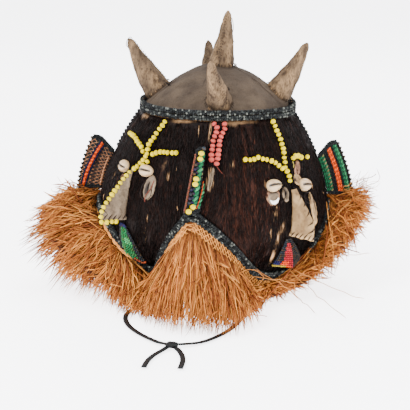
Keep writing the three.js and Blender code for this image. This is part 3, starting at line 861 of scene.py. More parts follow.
def makeCollar():
    lines = []
    bumps = newBeadMesh()
    draw = random.Random(6)
    for height, hand in ((3.6, 1), (10.2, -1)):
        def place(t, height=height):
            azimuth = 360 * t
            low = collar["droop"] * max(0.0, math.sin(math.radians(azimuth))) ** 3  # it hangs on the right
            return around(azimuth, collar["radius"] + 0.9 + low * 0.5, collar["low"] + height - low), outward(azimuth)

        lines += knotted(ropeLines(place, {**braid, "hand": hand}, slate, closed=True, samples=5), height)
        for side in (-1, 1):
            def row(t, place=place, side=side):
                spot, out = place(t)
                return spot + out * 2.2 + Vector((0, 0, side * knots["spread"])), out

            addKnots(bumps, draw, row)
    bmesh.ops.recalc_face_normals(bumps, faces=bumps.faces)
    addPiece("collarKnots", intoMesh(bumps, "collarKnots"), ["thread"])
    bm = bmesh.new()
    mesh = strandMesh("collar", lines, "cord", closed=True)
    bm.from_mesh(mesh)
    bpy.data.meshes.remove(mesh)
    bmesh.ops.recalc_face_normals(bm, faces=bm.faces)
    addPiece("collarBraid", intoMesh(bm, "collarBraid"), ["thread"], ["collar_braid"])


hornSeat = 75
horns = {
    "front": {"azimuth": 8.5, "seat": hornSeat, "base": 15, "out": 34, "side": -12, "up": 52},
    "right": {"azimuth": 92, "seat": hornSeat, "base": 16.5, "out": 35, "side": 0, "up": 61},
    "back": {"azimuth": 192, "seat": hornSeat, "base": 16, "out": 28, "side": 2.4, "up": 50.5},
    "left": {"azimuth": 268, "seat": hornSeat, "base": 18, "out": 36, "side": 0, "up": 63},
    "crown": {"azimuth": 80, "seat": 4, "base": 15, "out": 8, "side": 0, "up": 64},
}
hornTaper = [(0, 0.98), (0.2, 1), (0.38, 0.84), (0.55, 0.7), (0.72, 0.52), (0.87, 0.36), (0.96, 0.27), (1, 0.12)]


def hornRadius(share):
    for (a, low), (b, high) in zip(hornTaper, hornTaper[1:]):
        if share <= b:
            return mix(low, high, (share - a) / (b - a))
    return hornTaper[-1][1]


def hornRoute(horn):
    seat = around(horn["azimuth"], horn["seat"], domeZ(horn["seat"]))
    reach = outward(horn["azimuth"]) * horn["out"] + across(horn["azimuth"]) * horn["side"]
    return [seat - reach * 0.2 - Vector((0, 0, 12)), seat, seat + reach * 0.52 + Vector((0, 0, horn["up"] * 0.47)),
            seat + reach + Vector((0, 0, horn["up"]))]


def makeHorn(name, horn, seed):
    line = smoothRoute(hornRoute(horn), 16)
    total = pathLength(line)
    reach = [0.0]
    for a, b in zip(line, line[1:]):
        reach.append(reach[-1] + (b - a).length / total)

    def along(share):
        spot = max(i for i in range(len(reach) - 1) if share >= reach[i] - 1e-9)
        part = (share - reach[spot]) / (reach[spot + 1] - reach[spot])
        return line[spot].lerp(line[spot + 1], part), (line[spot + 1] - line[spot]).normalized()

    rest = outward(horn["azimuth"])

    def place(u, v):
        centre, way = along(min(v / 0.96, 1.0))
        side = rest.cross(way).normalized()
        away = way.cross(side)
        radius = horn["base"] * hornRadius(min(v / 0.96, 1.0))
        if v > 0.96:
            radius *= math.sqrt(max(0.0, 1 - ((v - 0.96) / 0.04) ** 2))
            centre = centre + way * 1.5 * (v - 0.96) / 0.04
        if v < 0.02:
            radius = 0.0
        angle = -math.tau * u
        bulge = 1 + 0.05 * noise.noise(Vector((math.cos(angle), math.sin(angle), v * 6 + seed))) * 2
        spot = centre + (side * math.cos(angle) + away * math.sin(angle)) * radius * bulge
        return spot + noise.noise_vector(spot / 6) * 0.55 * min(1.0, radius / 4)

    bm = wrapGrid(36, 60, place)
    bmesh.ops.recalc_face_normals(bm, faces=bm.faces)
    paintedShade = bm.verts.layers.float.new("paintedShade")
    for vert in bm.verts:
        # painted shade where the horn meets the dome: darker within a few millimetres of the cloth
        low = vert.co.z - domeZ((vert.co - Vector((axisX(238), 0, vert.co.z))).xy.length)
        vert[paintedShade] = max(0.0, 0.7 - low / 9) if low < 7 else 0.0
    bm.verts.layers.float_color.new("dye")
    addPiece("horn" + name.capitalize(), intoMesh(bm, name), ["horn"], ["horn_" + name])
    # stitches round the foot and a seam up the side
    draw = random.Random(seed)
    dark, pale = srgb(26, 17, 13), srgb(128, 98, 66)
    lines = []
    for i in range(26):
        angle = math.tau * (i + draw.uniform(-0.2, 0.2)) / 26
        centre, way = along(0.21)
        side = rest.cross(way).normalized()
        away = way.cross(side)
        roundWay = side * math.cos(angle) + away * math.sin(angle)
        outer = centre + roundWay * horn["base"] * 1.03
        ground = domeZ((outer - Vector((axisX(238), 0, outer.z))).xy.length)
        low = Vector((outer.x, outer.y, ground)) + roundWay * draw.uniform(1.0, 3.2)
        low.z = domeZ(min((low - Vector((axisX(238), 0, low.z))).xy.length, dome["radius"])) + 0.2
        high = Vector((outer.x, outer.y, ground)) - roundWay * 0.6 + way * draw.uniform(3.5, 6)
        middle = low.lerp(high, 0.5) + roundWay * 0.9
        lean = side.cross(roundWay) * draw.uniform(-1.5, 1.5)
        lines.append(([low, middle + lean, high], [0.0, 0.55, 0.0], 0.0, dark if draw.random() < 0.6 else pale))
    for i in range(16):
        share = 0.26 + 0.7 * i / 16
        centre, way = along(share)
        side = rest.cross(way).normalized()
        away = way.cross(side)
        for turn in (-0.25, 0.25):
            angle = 2.2 + seed + turn + draw.uniform(-0.1, 0.1)
            radius = horn["base"] * hornRadius(share)
            a = centre + (side * math.cos(angle) + away * math.sin(angle)) * (radius + 0.3)
            b = centre + way * 2.4 + (side * math.cos(angle - turn) + away * math.sin(angle - turn)) * (radius * 0.97 + 0.4)
            lines.append(([a, a.lerp(b, 0.5) + (a - centre).normalized() * 0.5, b], [0.0, 0.4, 0.0], 0.0, dark))
    mesh = closedStrands(strandMesh("stitches", lines, "thread"), "stitches")
    addPiece("hornStitches" + name.capitalize(), mesh, ["thread"])


def makeLooseThreads():
    # a thread down the crown horn, a loop at the left one, a tuft at its foot and faint seams
    draw = random.Random(5)
    dark, tan = srgb(26, 20, 17), srgb(96, 74, 50)
    tip = hornRoute(horns["crown"])[3]
    curl = [(1.6, -1, -4), (5.5, -1, -10), (6.5, 0, -20), (5.2, -1, -30), (8, -2, -38)]
    routes = [(smoothRoute([tip + Vector(spot) for spot in curl], 5), 0.45, tan)]
    leftTip = hornRoute(horns["left"])[3]
    loop = [(1, -2, -3), (4, -3, 1), (1.5, -3, 3.5), (-2, -3, 0), (-3.5, -3, -6), (-1, -3, -10)]
    routes.append((smoothRoute([leftTip + Vector(spot) for spot in loop], 4), 0.45, dark))
    for azimuth, radius, ends in ((292, 62, 7), (20, 60, 3)):
        foot = around(azimuth, radius, domeZ(radius))
        for _ in range(ends):
            bend = Vector((draw.uniform(-4, 4), draw.uniform(-3, 1), draw.uniform(1, 4)))
            end = foot + bend * 1.3 + Vector((draw.uniform(-3, 3), draw.uniform(-3, 1), draw.uniform(-2, 2)))
            routes.append((smoothRoute([foot, foot + bend, end], 4), 0.5, dark))
    for azimuth in crown["seams"]:
        seam = [around(azimuth, radius, domeZ(radius) + 0.1) for radius in range(12, 86, 4)]
        seam = [point + noise.noise_vector(point / 9) * 0.8 for point in seam]
        routes.append((seam, 0.4, srgb(56, 46, 38)))
    made = [(points, [0.0, *([thick] * (len(points) - 2)), 0.0], 0.0, colour) for points, thick, colour in routes]
    mesh = closedStrands(strandMesh("loose", made, "thread"), "looseThreads")
    addPiece("looseThreads", mesh, ["thread"])


makeDome()
makeCollar()
for seed, (name, horn) in enumerate(horns.items()):
    makeHorn(name, horn, seed)
makeLooseThreads()
print("crown and horns")


# Rim braid and the dark cord down the side and back corners

def makeRim():
    lines = []
    bumps = newBeadMesh()
    draw = random.Random(8)
    kind = {**braid, "pitch": 8.8, "coil": 1.4, "thick": 1.9}
    for drop, hand in ((3.9, 1), (10.4, -1)):
        def place(t, drop=drop):
            azimuth = 360 * t - 4
            z = rimZ(azimuth) - 0.8 - drop
            return around(azimuth, bodyRadius(azimuth, z) + 0.6, z), bodyFrame(azimuth, z)[3]

        lines += knotted(ropeLines(place, {**kind, "hand": hand}, slate, closed=True, samples=5), drop)
        for side in (-1, 1):
            def row(t, drop=drop, side=side):
                azimuth = 360 * t - 4
                z = rimZ(azimuth) - 0.8 - drop - side * knots["spread"]
                return around(azimuth, bodyRadius(azimuth, z) + 3.1, z), outward(azimuth)

            addKnots(bumps, draw, row)
    bmesh.ops.recalc_face_normals(bumps, faces=bumps.faces)
    addPiece("rimKnots", intoMesh(bumps, "rimKnots"), ["thread"])
    mesh = strandMesh("rimRopes", lines, "cord", closed=True)
    bm = bmesh.new()
    bm.from_mesh(mesh)
    bpy.data.meshes.remove(mesh)
    bmesh.ops.recalc_face_normals(bm, faces=bm.faces)
    addPiece("rimBraid", intoMesh(bm, "rimBraid"), ["thread"], ["rim_braid"])

    # a near-black band behind the rim braid: painted shade seen between its ropes
    def band(u, v):
        azimuth = 360 * u
        z = rimZ(azimuth) + 3 - (rim["height"] + 3.8) * (1 - v)
        return around(azimuth, bodyRadius(azimuth, z) - 1.4, z)

    bm = wrapGrid(240, 3, band)
    bmesh.ops.recalc_face_normals(bm, faces=bm.faces)
    bm.verts.layers.float_color.new("dye")
    dye = bm.verts.layers.float_color["dye"]
    for vert in bm.verts:
        # painted shade
        vert[dye] = srgb(10, 11, 12)
    piece = addPiece("rimBacking", intoMesh(bm, "rimBacking"), ["thread"])
    wall = piece.modifiers.new("wall", "SOLIDIFY")
    wall.thickness = 0.004
    wall.offset = -1


cornerCord = {"pitch": 5.4, "bead": 2.7}


def makeCornerCords():
    bm = newBeadMesh()
    draw = random.Random(21)
    for azimuth, low in ((90, 172), (180, 178), (270, 174)):
        def place(t, azimuth=azimuth, low=low):
            z = mix(collar["low"] - 2, low, t)
            return onBody(azimuth, z, 0.6), outward(azimuth)

        length = (place(1)[0] - place(0)[0]).length * 1.05
        path, _ = evenPath(place, round(length / cornerCord["pitch"]))
        for (point, _), (after, _) in zip(path, path[1:]):
            colour = shaded(slate[0], draw.uniform(0.7, 1.2))
            addBead(bm, point, cornerCord["bead"], after - point, colour, flat=0.95, segments=10, rings=6)
    bmesh.ops.recalc_face_normals(bm, faces=bm.faces)
    addPiece("cornerCords", intoMesh(bm, "cornerCords"), ["thread"])


makeRim()
makeCornerCords()
print("rim and corners")


# Faces: noses, cowrie eyes, strings of beads and mouths

faces = {
    "front_right": {
        "hide": "paleHide", "noseAzimuth": 50.8, "noseTop": 146, "noseFoot": 92, "reach": 30, "bluff": 0.2, "gap": True,
        "mouthApex": 46.6, "mouthAzimuth": 51, "mouthTop": 88, "mouthFoot": 57, "mouthHalf": 26,
        "eyes": {"left": (38.4, 154.4, 20, 15, 0.05, 0.16), "right": (60, 148, 19, 15.5, -0.16, 0)},
        "strings": [
            [(48.7, 225), (49.1, 214), (49.7, 195.5), (48.6, 185), (47.5, 174), (48.3, 168), (49.1, 160), (48.5, 154)],
            [(21.7, 186.5), (24.5, 185), (27.6, 185), (30.9, 187), (33.6, 184.7), (38.6, 182), (43.3, 176), (46.1, 169)],
            [(54.2, 178.6), (55.8, 181), (58.7, 181.4), (61.4, 180.2), (63.9, 177.8)], [(67.9, 178), (69.9, 177)]]},
    "back_right": {
        "hide": "greyHide", "noseAzimuth": 135, "noseTop": 166, "noseFoot": 106, "reach": 31, "bluff": 0.1,
        "mouthApex": 135, "mouthAzimuth": 135, "mouthTop": 99, "mouthFoot": 60, "mouthHalf": 22,
        "eyes": {"left": (125.2, 157, 20, 14.5, 0.1, 0), "right": (144.8, 157, 20, 14.5, -0.1, 0)},
        "strings": [[(134.4, 225), (135, 201), (135, 176)], [(111, 190), (121, 189), (128, 184), (134, 177)],
                    [(137, 178), (142, 183), (149, 188), (158, 188)]]},
    "back_left": {
        "hide": "paleHide", "noseAzimuth": 225, "noseTop": 166, "noseFoot": 106, "reach": 31, "bluff": 0.1, "beaded": True,
        "mouthApex": 225, "mouthAzimuth": 225, "mouthTop": 99, "mouthFoot": 60, "mouthHalf": 22,
        "eyes": {"left": (215.2, 158, 20, 14.5, 0.08, 0), "right": (234.8, 158, 20, 14.5, -0.12, 0)},
        "strings": [[(225.6, 225), (225, 201), (225, 176)], [(202, 188), (212, 188), (218, 183), (224, 177)],
                    [(227, 178), (232, 184), (239, 190), (249, 190)]]},
    "front_left": {
        "hide": "greyHide", "noseAzimuth": 315.5, "noseTop": 167, "noseFoot": 108, "reach": 33, "bluff": 0, "beaded": True,
        "mouthApex": 316, "mouthAzimuth": 322, "mouthTop": 102, "mouthFoot": 60, "mouthHalf": 20,
        "eyes": {"left": (308.1, 167, 17, 15, -0.15, 0), "right": (327, 168.5, 20, 14.5, 0.02, 0)},
        "strings": [
            [(328.9, 225), (326.7, 215), (324.5, 206), (322.8, 196), (323.4, 191), (324.2, 184)],
            [(296.1, 202), (301.8, 201.7), (306.3, 200.3), (310.3, 197.6), (314.7, 194.6), (318.5, 190.8), (320.6, 185.7)],
            [(327.1, 186), (329.5, 188.2), (332.4, 190.6), (335.2, 191.2), (338.3, 190.9), (341.7, 191.9), (344.9, 191.6)],
            [(324, 186), (322.9, 180), (321.5, 176.8), (319.6, 170), (317, 166)], [(326.8, 181), (325.2, 176), (323, 171)]]},
}
nose = {"halfTop": 3, "halfWidth": 8, "skin": 1.6, "steepness": 1.15, "fold": 0.84}
brow = {"bead": 3.15, "pitch": 5.8}
mouth = {"halfTop": 3, "reach": 9, "skin": 2}
yellow = (0.56, 0.43, 0.0, 1.0)


def nameOf(key):  # front_left as FrontLeft
    return key.title().replace("_", "")


def wedgePlace(azimuth, z, half, x, lift, ridge, soft=0.0):
    swing = math.degrees(half * x / body["widest"])
    crest = max(0.0, 1 - math.hypot(x, soft)) / (1 - soft)
    return onBody(azimuth + swing, z, 0.6 + lift + ridge * crest)


def nosePlace(face, x, down, height=1.0, extra=0.0):
    half = mix(nose["halfTop"], nose["halfWidth"], down)
    ridge = face["reach"] * min(face["bluff"] + nose["steepness"] * down, 1.0)
    z = mix(face["noseTop"], face["noseFoot"], down)
    return wedgePlace(face["noseAzimuth"], z, half, x, nose["skin"] * height + extra, ridge * height, 0.09)


def mouthPlace(face, x, down, height=1.0, extra=0.0):
    azimuth = mix(face["mouthApex"], face["mouthAzimuth"], down)
    half = mix(mouth["halfTop"], face["mouthHalf"], down)
    foot = max(face["mouthFoot"], rimZ(azimuth + math.degrees(half * x / body["widest"])) + 2.5)
    z = mix(face["mouthTop"], foot, down)
    return wedgePlace(azimuth, z, half, x, mouth["skin"] * height + extra, mouth["reach"] * down * height)


def makeNose(key, face, seed):
    fold = nose["fold"]  # below this share the hide turns under, back to the body

    def place(u, v):
        down = min((1 - v) / fold, 1.0)
        under = max(0.0, (1 - v - fold) / (1 - fold))
        x = u * 2 - 1
        spot = nosePlace(face, x, down, 1 - under)
        spot.z += under * 3 + 1.6 * noise.noise(Vector((u * 7, 0, seed))) * down * (1 - under)
        return spot + noise.noise_vector(spot / 9) * 0.9 + noise.noise_vector(spot / 3.5) * 0.3

    bm = wrapGrid(30, 48, place)
    bmesh.ops.recalc_face_normals(bm, faces=bm.faces)
    for layer in ("paintedShade", "edge"):
        bm.verts.layers.float.new(layer)
    paintedShade, frayed = (bm.verts.layers.float[layer] for layer in ("paintedShade", "edge"))
    for vert in bm.verts:
        azimuth = math.degrees(math.atan2(vert.co.x - axisX(vert.co.z), -vert.co.y))
        out = (vert.co - onBody(azimuth, vert.co.z)).length
        # painted shade where the nose lies close to the body, along its sides and where it turns under
        vert[paintedShade] = max(0.0, 1 - out / 4.5) * 0.7
        if face.get("gap"):  # painted shade of a fold that runs down from the right eye
            down = (face["noseTop"] - vert.co.z) / (face["noseTop"] - face["noseFoot"])
            half = math.degrees(mix(nose["halfTop"], nose["halfWidth"], down) / body["widest"])
            turned = ((azimuth - face["noseAzimuth"] + 180) % 360 - 180) / half
            if 0.05 < down < 0.86:
                vert[paintedShade] = max(vert[paintedShade], 1 - max(0.0, abs(turned - mix(0.55, 1.0, down)) - 0.12) * 5)
        vert[frayed] = min(1.0, max(0.0, (face["noseFoot"] + 2.5 - vert.co.z) / 2))
    piece = addPiece("nose" + nameOf(key), intoMesh(bm, key), [face["hide"]], ["nose_" + key])
    wall = piece.modifiers.new("wall", "SOLIDIFY")
    wall.thickness = 0.0011
    wall.offset = -1

    draw = random.Random(seed)
    thread = srgb(34, 25, 21)
    lines = []
    for down in (0.1, 0.27, 0.44, 0.61, 0.76):  # long stitches slanting off the ridge
        for way in (-1, 1):
            points = [nosePlace(face, way * x, down + rise, 1.0, 1.1)
                      for x, rise in ((-0.04, -0.01), (0.14, 0.055), (0.32 + draw.uniform(0, 0.08), 0.13))]
            lines.append((points, [0.0, 0.95, 0.0], 0.0, thread))
    for i in range(12):  # short slanted stitches along the lower edge
        x = -0.94 + 1.88 * i / 11
        points = [nosePlace(face, x + shift, down, 1.0, 1.1) for shift, down in ((0.1, 0.88), (0.0, 0.95), (-0.08, 1.02))]
        lines.append((points, [0.0, 0.9, 0.0], 0.0, thread))
    mesh = closedStrands(strandMesh("noseStitches", lines, "thread"), "noseStitches")
    addPiece("noseStitches" + nameOf(key), mesh, ["thread"])


def beadPath(bm, draw, points, kind, colour, flat=0.84):
    total = pathLength(points)
    count = max(1, round(total / kind["pitch"]))
    spot, gone = 0, 0.0
    for i in range(count):
        target = total * (i + 0.5) / count
        while spot < len(points) - 2 and gone + (points[spot + 1] - points[spot]).length < target:
            gone += (points[spot + 1] - points[spot]).length
            spot += 1
        way = (points[spot + 1] - points[spot]).normalized()
        jitter = Vector((draw.gauss(0, 0.25), draw.gauss(0, 0.25), draw.gauss(0, 0.25)))
        tilt = Vector((draw.gauss(0, 0.14), draw.gauss(0, 0.14), draw.gauss(0, 0.14)))
        addBead(bm, points[spot] + way * (target - gone) + jitter, kind["bead"] * draw.uniform(0.9, 1.1), way + tilt,
                shaded(colour, draw.uniform(0.82, 1.08)), flat=flat)


def stringPath(stations, out):
    return smoothRoute([onBody(azimuth, z, out) for azimuth, z in stations], 6)


def makeBrow(key, face, seed):
    draw = random.Random(seed)
    bm = newBeadMesh()
    for i, stations in enumerate(face["strings"]):
        kind = {**brow, "pitch": 7.2} if i == 1 and key == "front_left" else brow
        beadPath(bm, draw, stringPath(stations, brow["bead"] + 0.5), kind, yellow)
    if face.get("beaded"):  # beads go on down the ridge of the nose and along its lower edge
        ridge = [nosePlace(face, 0.0, down, 1.0, -0.6) for down in (0.03, 0.2, 0.4, 0.6, 0.8, 0.97)]
        beadPath(bm, draw, smoothRoute(ridge, 4), brow, yellow)
        edge = [nosePlace(face, x, 1.0, 1.0, 0.6) - Vector((0, 0, 1.6)) for x in (0.0, 0.24, 0.5, 0.76)]
        beadPath(bm, draw, edge, brow, yellow)
    bmesh.ops.recalc_face_normals(bm, faces=bm.faces)
    addPiece("browBeads" + nameOf(key), intoMesh(bm, key), ["bead"], ["brow_beads_" + key])


def makeEye(key, label, spot, hole):
    azimuth, z, length, width, turn, arch = spot
    centre, _, _, out = bodyFrame(azimuth, z)
    along = Vector((-out.y, out.x, 0)).normalized()
    up = out.cross(along)
    along, up = along * math.cos(turn) + up * math.sin(turn), up * math.cos(turn) - along * math.sin(turn)
    height = 8
    bm = bmesh.new()
    bmesh.ops.create_uvsphere(bm, u_segments=44, v_segments=30, radius=1)
    paintedShade = bm.verts.layers.float.new("paintedShade")
    for vert in bm.verts:
        x, y, depth = vert.co
        narrow = 1 - 0.16 * x  # one end is blunter
        slit = y - arch * (1 - x * x) + 0.04 * math.sin(x * 3)
        slitDepth = math.exp(-((slit / 0.17) ** 2)) if depth > 0 and abs(x) < 0.9 else 0.0
        teeth = 0.06 * math.cos(x * 36) * math.exp(-((abs(slit) - 0.17) / 0.08) ** 2) if depth > 0 else 0.0
        # painted shade in the slit of the shell
        vert[paintedShade] = min(1.0, slitDepth * 1.6)
        lift = max(depth, -0.25) * (1 - 0.4 * slitDepth) + teeth
        vert.co = (centre + along * x * length / 2 + up * y * narrow * width / 2
                   + out * (lift * height + height * 0.25 + 0.8))
    if hole:  # this shell has a round hole, sunk in and filled with painted shade
        low = centre + up * -3.2 + along * -1.2
        for vert in bm.verts:
            if ((vert.co - low) - out * (vert.co - low).dot(out)).length < 1.7:
                vert[paintedShade] = 1.0
                vert.co -= out * 2.6
    bmesh.ops.recalc_face_normals(bm, faces=bm.faces)
    node = "eye_" + key + "_" + label
    addPiece("cowrie" + nameOf(node), intoMesh(bm, node), ["shell"], [node])


mouthColours = {
    "red": srgb(150, 28, 40), "slate": srgb(26, 31, 36), "green": srgb(22, 84, 46), "leaf": srgb(52, 122, 74),
    "orange": srgb(198, 62, 18), "olive": srgb(148, 128, 42), "night": srgb(20, 23, 25), "rust": srgb(120, 50, 26), "navy": srgb(28, 30, 66)}
seedBead = {"radius": 1.4, "pitch": 2.55, "row": 2.4}


def rightMouthColour(x, down, draw):  # red to the left of its ridge, night to the right
    if down > 0.93 and x < 0:
        return "olive" if x < -0.3 else "orange"
    if down > 0.82 and x < -0.2:
        return "navy" if x < -0.6 else "orange"
    if x < -0.52 or down < 0.1:
        return "slate"
    return "red" if x < 0.05 else "slate" if draw.random() < 0.3 else "night"


def leftMouthColour(x, down, draw):  # blue above, then green, with slate to the right
    if down > 0.95 and x > 0.4:
        return "rust"
    if down < 0.16:
        return "navy"
    if -0.5 < x < 0.7:
        return "leaf" if 0.5 < down < 0.7 and x > 0.1 else "green"
    return "slate" if draw.random() < 0.75 else "night"


def makeMouth(key, face, seed):
    draw = random.Random(seed)
    colourAt = leftMouthColour if key in ("front_left", "back_right") else rightMouthColour

    def place(u, v):
        down = min((1 - v) / 0.85, 1.0)
        under = max(0.0, (1 - v - 0.85) / 0.15)
        return mouthPlace(face, u * 2 - 1, down, 1 - under, -0.8)

    bm = wrapGrid(16, 20, place)
    bmesh.ops.recalc_face_normals(bm, faces=bm.faces)
    dye = bm.verts.layers.float_color.new("dye")
    for vert in bm.verts:
        vert[dye] = mouthColours["night"]
    rows = round((face["mouthTop"] - face["mouthFoot"]) / seedBead["row"])
    beads = []
    for row in range(rows + 1):
        down = row / rows
        half = mix(mouth["halfTop"], face["mouthHalf"], down)
        width = math.hypot(half, mouth["reach"] * down)
        for side in (-1, 1):
            count = max(1, round(width / seedBead["pitch"]))
            for i in range(0 if side < 0 else 1, count + 1):
                x = side * i / count
                spot = mouthPlace(face, x * 0.98, down, 1.0, 0.35)
                shade = shaded(mouthColours[colourAt(x, down, draw)], draw.uniform(0.7, 1.3))
                size = seedBead["radius"] * draw.uniform(0.9, 1.08)
                beads.append((spot, size, across(face["mouthAzimuth"]), shade, 8, 5))
    addBeads(bm, beads)
    bmesh.ops.recalc_face_normals(bm, faces=bm.faces)
    addPiece("mouth" + nameOf(key), intoMesh(bm, key), ["bead"], ["mouth_" + key])


pinkStrings = {
    "pink_beads_left": [(4, 226), (6.8, 218.6), (4.6, 206), (4.4, 193), (4.1, 184)],
    "pink_beads_right": [(11.5, 226), (12, 219.6), (9.4, 211), (8.3, 200.5), (7.8, 190), (6.8, 180)],
}


def makePinkStrings():
    kind = {"bead": 3.5, "pitch": 5.6}
    for seed, (node, stations) in enumerate(pinkStrings.items()):
        bm = newBeadMesh()
        beadPath(bm, random.Random(40 + seed), stringPath(stations, 3.5), kind, srgb(156, 64, 58), flat=0.78)
        bmesh.ops.recalc_face_normals(bm, faces=bm.faces)
        addPiece(nameOf(node).replace("P", "p", 1), intoMesh(bm, node), ["bead"], [node])


for seed, (key, face) in enumerate(faces.items()):
    makeNose(key, face, 20 + seed)
    makeBrow(key, face, 60 + seed)
    for label, spot in face["eyes"].items():
        makeEye(key, label, spot, key == "front_left" and label == "left")
    makeMouth(key, face, 80 + seed)
makePinkStrings()
print("faces")


# Small things of bare hide: pockets under the eyes, flaps and strips, and ends of thread

patches = [  # name, azimuths at the foot and the head, height, half width and half height, rise, folds, sunk hollow with painted shade, finish
    ("haloRight", 37.8, 38.2, 143, 10, 12, 0.5, 0.2, (0, 0.4, 0.6, 0.4), "pinkHide"),
    ("pocketRight", 37.8, 38.2, 140.5, 8, 8.5, 1.8, 0.2, (0, 0.85, 0.9, 0.3), "greyHide"),
    ("foldsRight", 46, 45.5, 142, 5, 9, 2.4, 1.6, (-0.2, 0.2, 0.35, 0.5), "greyHide"),
    ("flapRight", 56.2, 55.6, 156, 6.5, 7, 2.2, 0.6, (-0.7, 0.1, 0.3, 0.4), "paleHide"),
    ("blushRight", 56.5, 59.5, 168, 6, 9, 1.2, 0.6, (0, -0.9, 0.3, 0.2), "pinkHide"),
    ("stripRight", 68.2, 64.2, 116, 5.4, 22, 2.2, 0.7, (0.5, 0, 0.2, 0.9), "paleHide"),
    ("flapLeft", -29.4, -28.6, 151, 9, 14.5, 2.4, 0.8, (-0.3, -0.1, 0.34, 0.6), "greyHide"),
    ("tabLeft", -51.5, -52, 152, 4, 7, 1.4, 0.8, (0.2, 0.3, 0.35, 0.3), "pinkHide"),
    ("tabFront", 3.4, 5.4, 166, 2.8, 13, 1.3, 0.8, (0.3, -0.5, 0.2, 0.4), "greyHide"),
    ("pocketBack", 146, 146, 139, 6, 8, 1.6, 0.3, (0, 0.5, 0.6, 0.3), "greyHide"),
    ("flapBack", 215, 215, 140, 7, 10, 1.8, 0.5, (0, -0.2, 0.35, 0.4), "paleHide"),
    ("tabBack", 236, 236, 146, 4.5, 9, 1.6, 0.6, (0, 0.2, 0.4, 0.4), "paleHide"),
]


def makePatches():
    for name, footAzimuth, headAzimuth, z, halfWidth, halfHeight, rise, folds, dark, finish in patches:
        def square(u, v):  # the grid drawn in to a rounded tongue
            x, y = u * 2 - 1, v * 2 - 1
            ring = math.hypot(x, y)
            edge = max(abs(x), abs(y))
            return (x * edge / ring, y * edge / ring) if ring > 1e-6 else (0.0, 0.0)

        def place(u, v):
            x, y = square(u, v)
            edge = math.hypot(x, y)
            swell = math.sqrt(max(0.0, 1 - edge ** 2))
            cup = 0.5 * math.exp(-((edge - 0.74) / 0.16) ** 2)
            sink = math.exp(-((x - dark[0]) / dark[2]) ** 2 - ((y - dark[1]) / dark[3]) ** 2)
            spin = math.degrees(x * halfWidth / 135)
            lift = rise * (swell * 0.5 + cup - sink * 0.4) + folds * 0.8 * swell * math.sin(x * 9 + y * 2)
            spot = onBody(mix(footAzimuth, headAzimuth, v) + spin, z + y * halfHeight, lift + 0.5)
            return spot + noise.noise_vector(spot / 4) * 0.5

        bm = wrapGrid(24, 30, place)
        bmesh.ops.recalc_face_normals(bm, faces=bm.faces)
        for layer in ("paintedShade", "edge"):
            bm.verts.layers.float.new(layer)
        paintedShade, rimmed = (bm.verts.layers.float[layer] for layer in ("paintedShade", "edge"))
        for vert in bm.verts:
            azimuth = math.degrees(math.atan2(vert.co.x - axisX(vert.co.z), -vert.co.y))
            y = (vert.co.z - z) / halfHeight
            turn = (azimuth - mix(footAzimuth, headAzimuth, (y + 1) / 2) + 180) % 360 - 180
            x = math.radians(turn) * 135 / halfWidth
            # painted shade in the hollow where the patch sinks
            vert[paintedShade] = min(1.0, 1.3 * math.exp(-((x - dark[0]) / dark[2]) ** 2 - ((y - dark[1]) / dark[3]) ** 2))
            vert[rimmed] = 0.8 * math.exp(-((math.hypot(x, y) - 0.84) / 0.13) ** 2) if y < 0.35 else 0.0
        piece = addPiece(name, intoMesh(bm, name), [finish])
        wall = piece.modifiers.new("wall", "SOLIDIFY")
        wall.thickness = 0.0012
        wall.offset = -1


def makePearl():  # the bright crescent of a broken shell in the pocket under an eye
    def place(u, v):
        angle = mix(math.pi * 1.12, math.pi * 1.95, u)
        radius = 5.9 + (v - 0.5) * math.sin(math.pi * u) ** 0.6 * 4.4
        spin = math.degrees(math.cos(angle) * radius / 135)
        return onBody(37.8 + spin, 141 + math.sin(angle) * radius, 2.4 + 1.3 * math.sin(math.pi * v))

    bm = wrapGrid(24, 8, place)
    bmesh.ops.recalc_face_normals(bm, faces=bm.faces)
    bm.verts.layers.float.new("paintedShade")
    piece = addPiece("pearlCrescent", intoMesh(bm, "pearlCrescent"), ["pearl"])
    wall = piece.modifiers.new("wall", "SOLIDIFY")
    wall.thickness = 0.0014
    wall.offset = -1


def makeThreadEnds():  # loops and ends of thread on the faces
    dark, rust, pale = srgb(30, 23, 20), srgb(96, 44, 34), srgb(150, 132, 60)
    routes = [
        (dark, [(58.5, 140), (62.5, 137), (63, 130), (60.5, 126), (58.5, 130), (59, 137)]),
        (dark, [(50.5, 148), (52.5, 146), (52, 141), (50.8, 138), (51.8, 134)]),
        (dark, [(41.5, 152), (44, 149), (45.5, 143), (44, 137), (41, 134)]),
        (pale, [(53.6, 170), (54.6, 173), (54, 177)], ), (rust, [(6.8, 181), (8.5, 176), (10.5, 171)]),
        (dark, [(-31.0, 158), (-33.5, 150), (-33.0, 141), (-30, 136.5), (-26.5, 141), (-26.8, 150)]),
        (dark, [(-50.5, 158), (-51.5, 148), (-50.5, 140)]), (rust, [(-26, 160), (-27.5, 150), (-29.5, 140), (-29, 134)]),
        (dark, [(148, 150), (150, 142), (147, 136)]), (dark, [(232, 152), (234, 143), (231, 138)]),
    ]
    lines = []
    for colour, route in routes:
        points = smoothRoute([onBody(azimuth, z, 3.2 + 0.8 * math.sin(z)) for azimuth, z in route], 5)
        lines.append((points, [0.0, *([0.55] * (len(points) - 2)), 0.0], 0.0, colour))
    mesh = closedStrands(strandMesh("threadEnds", lines, "thread"), "threadEnds")
    addPiece("threadEnds", mesh, ["thread"])


makePatches()
makePearl()
makeThreadEnds()
print("patches")


# Ears: panels of twisted thread between dark braids, the front one folded over

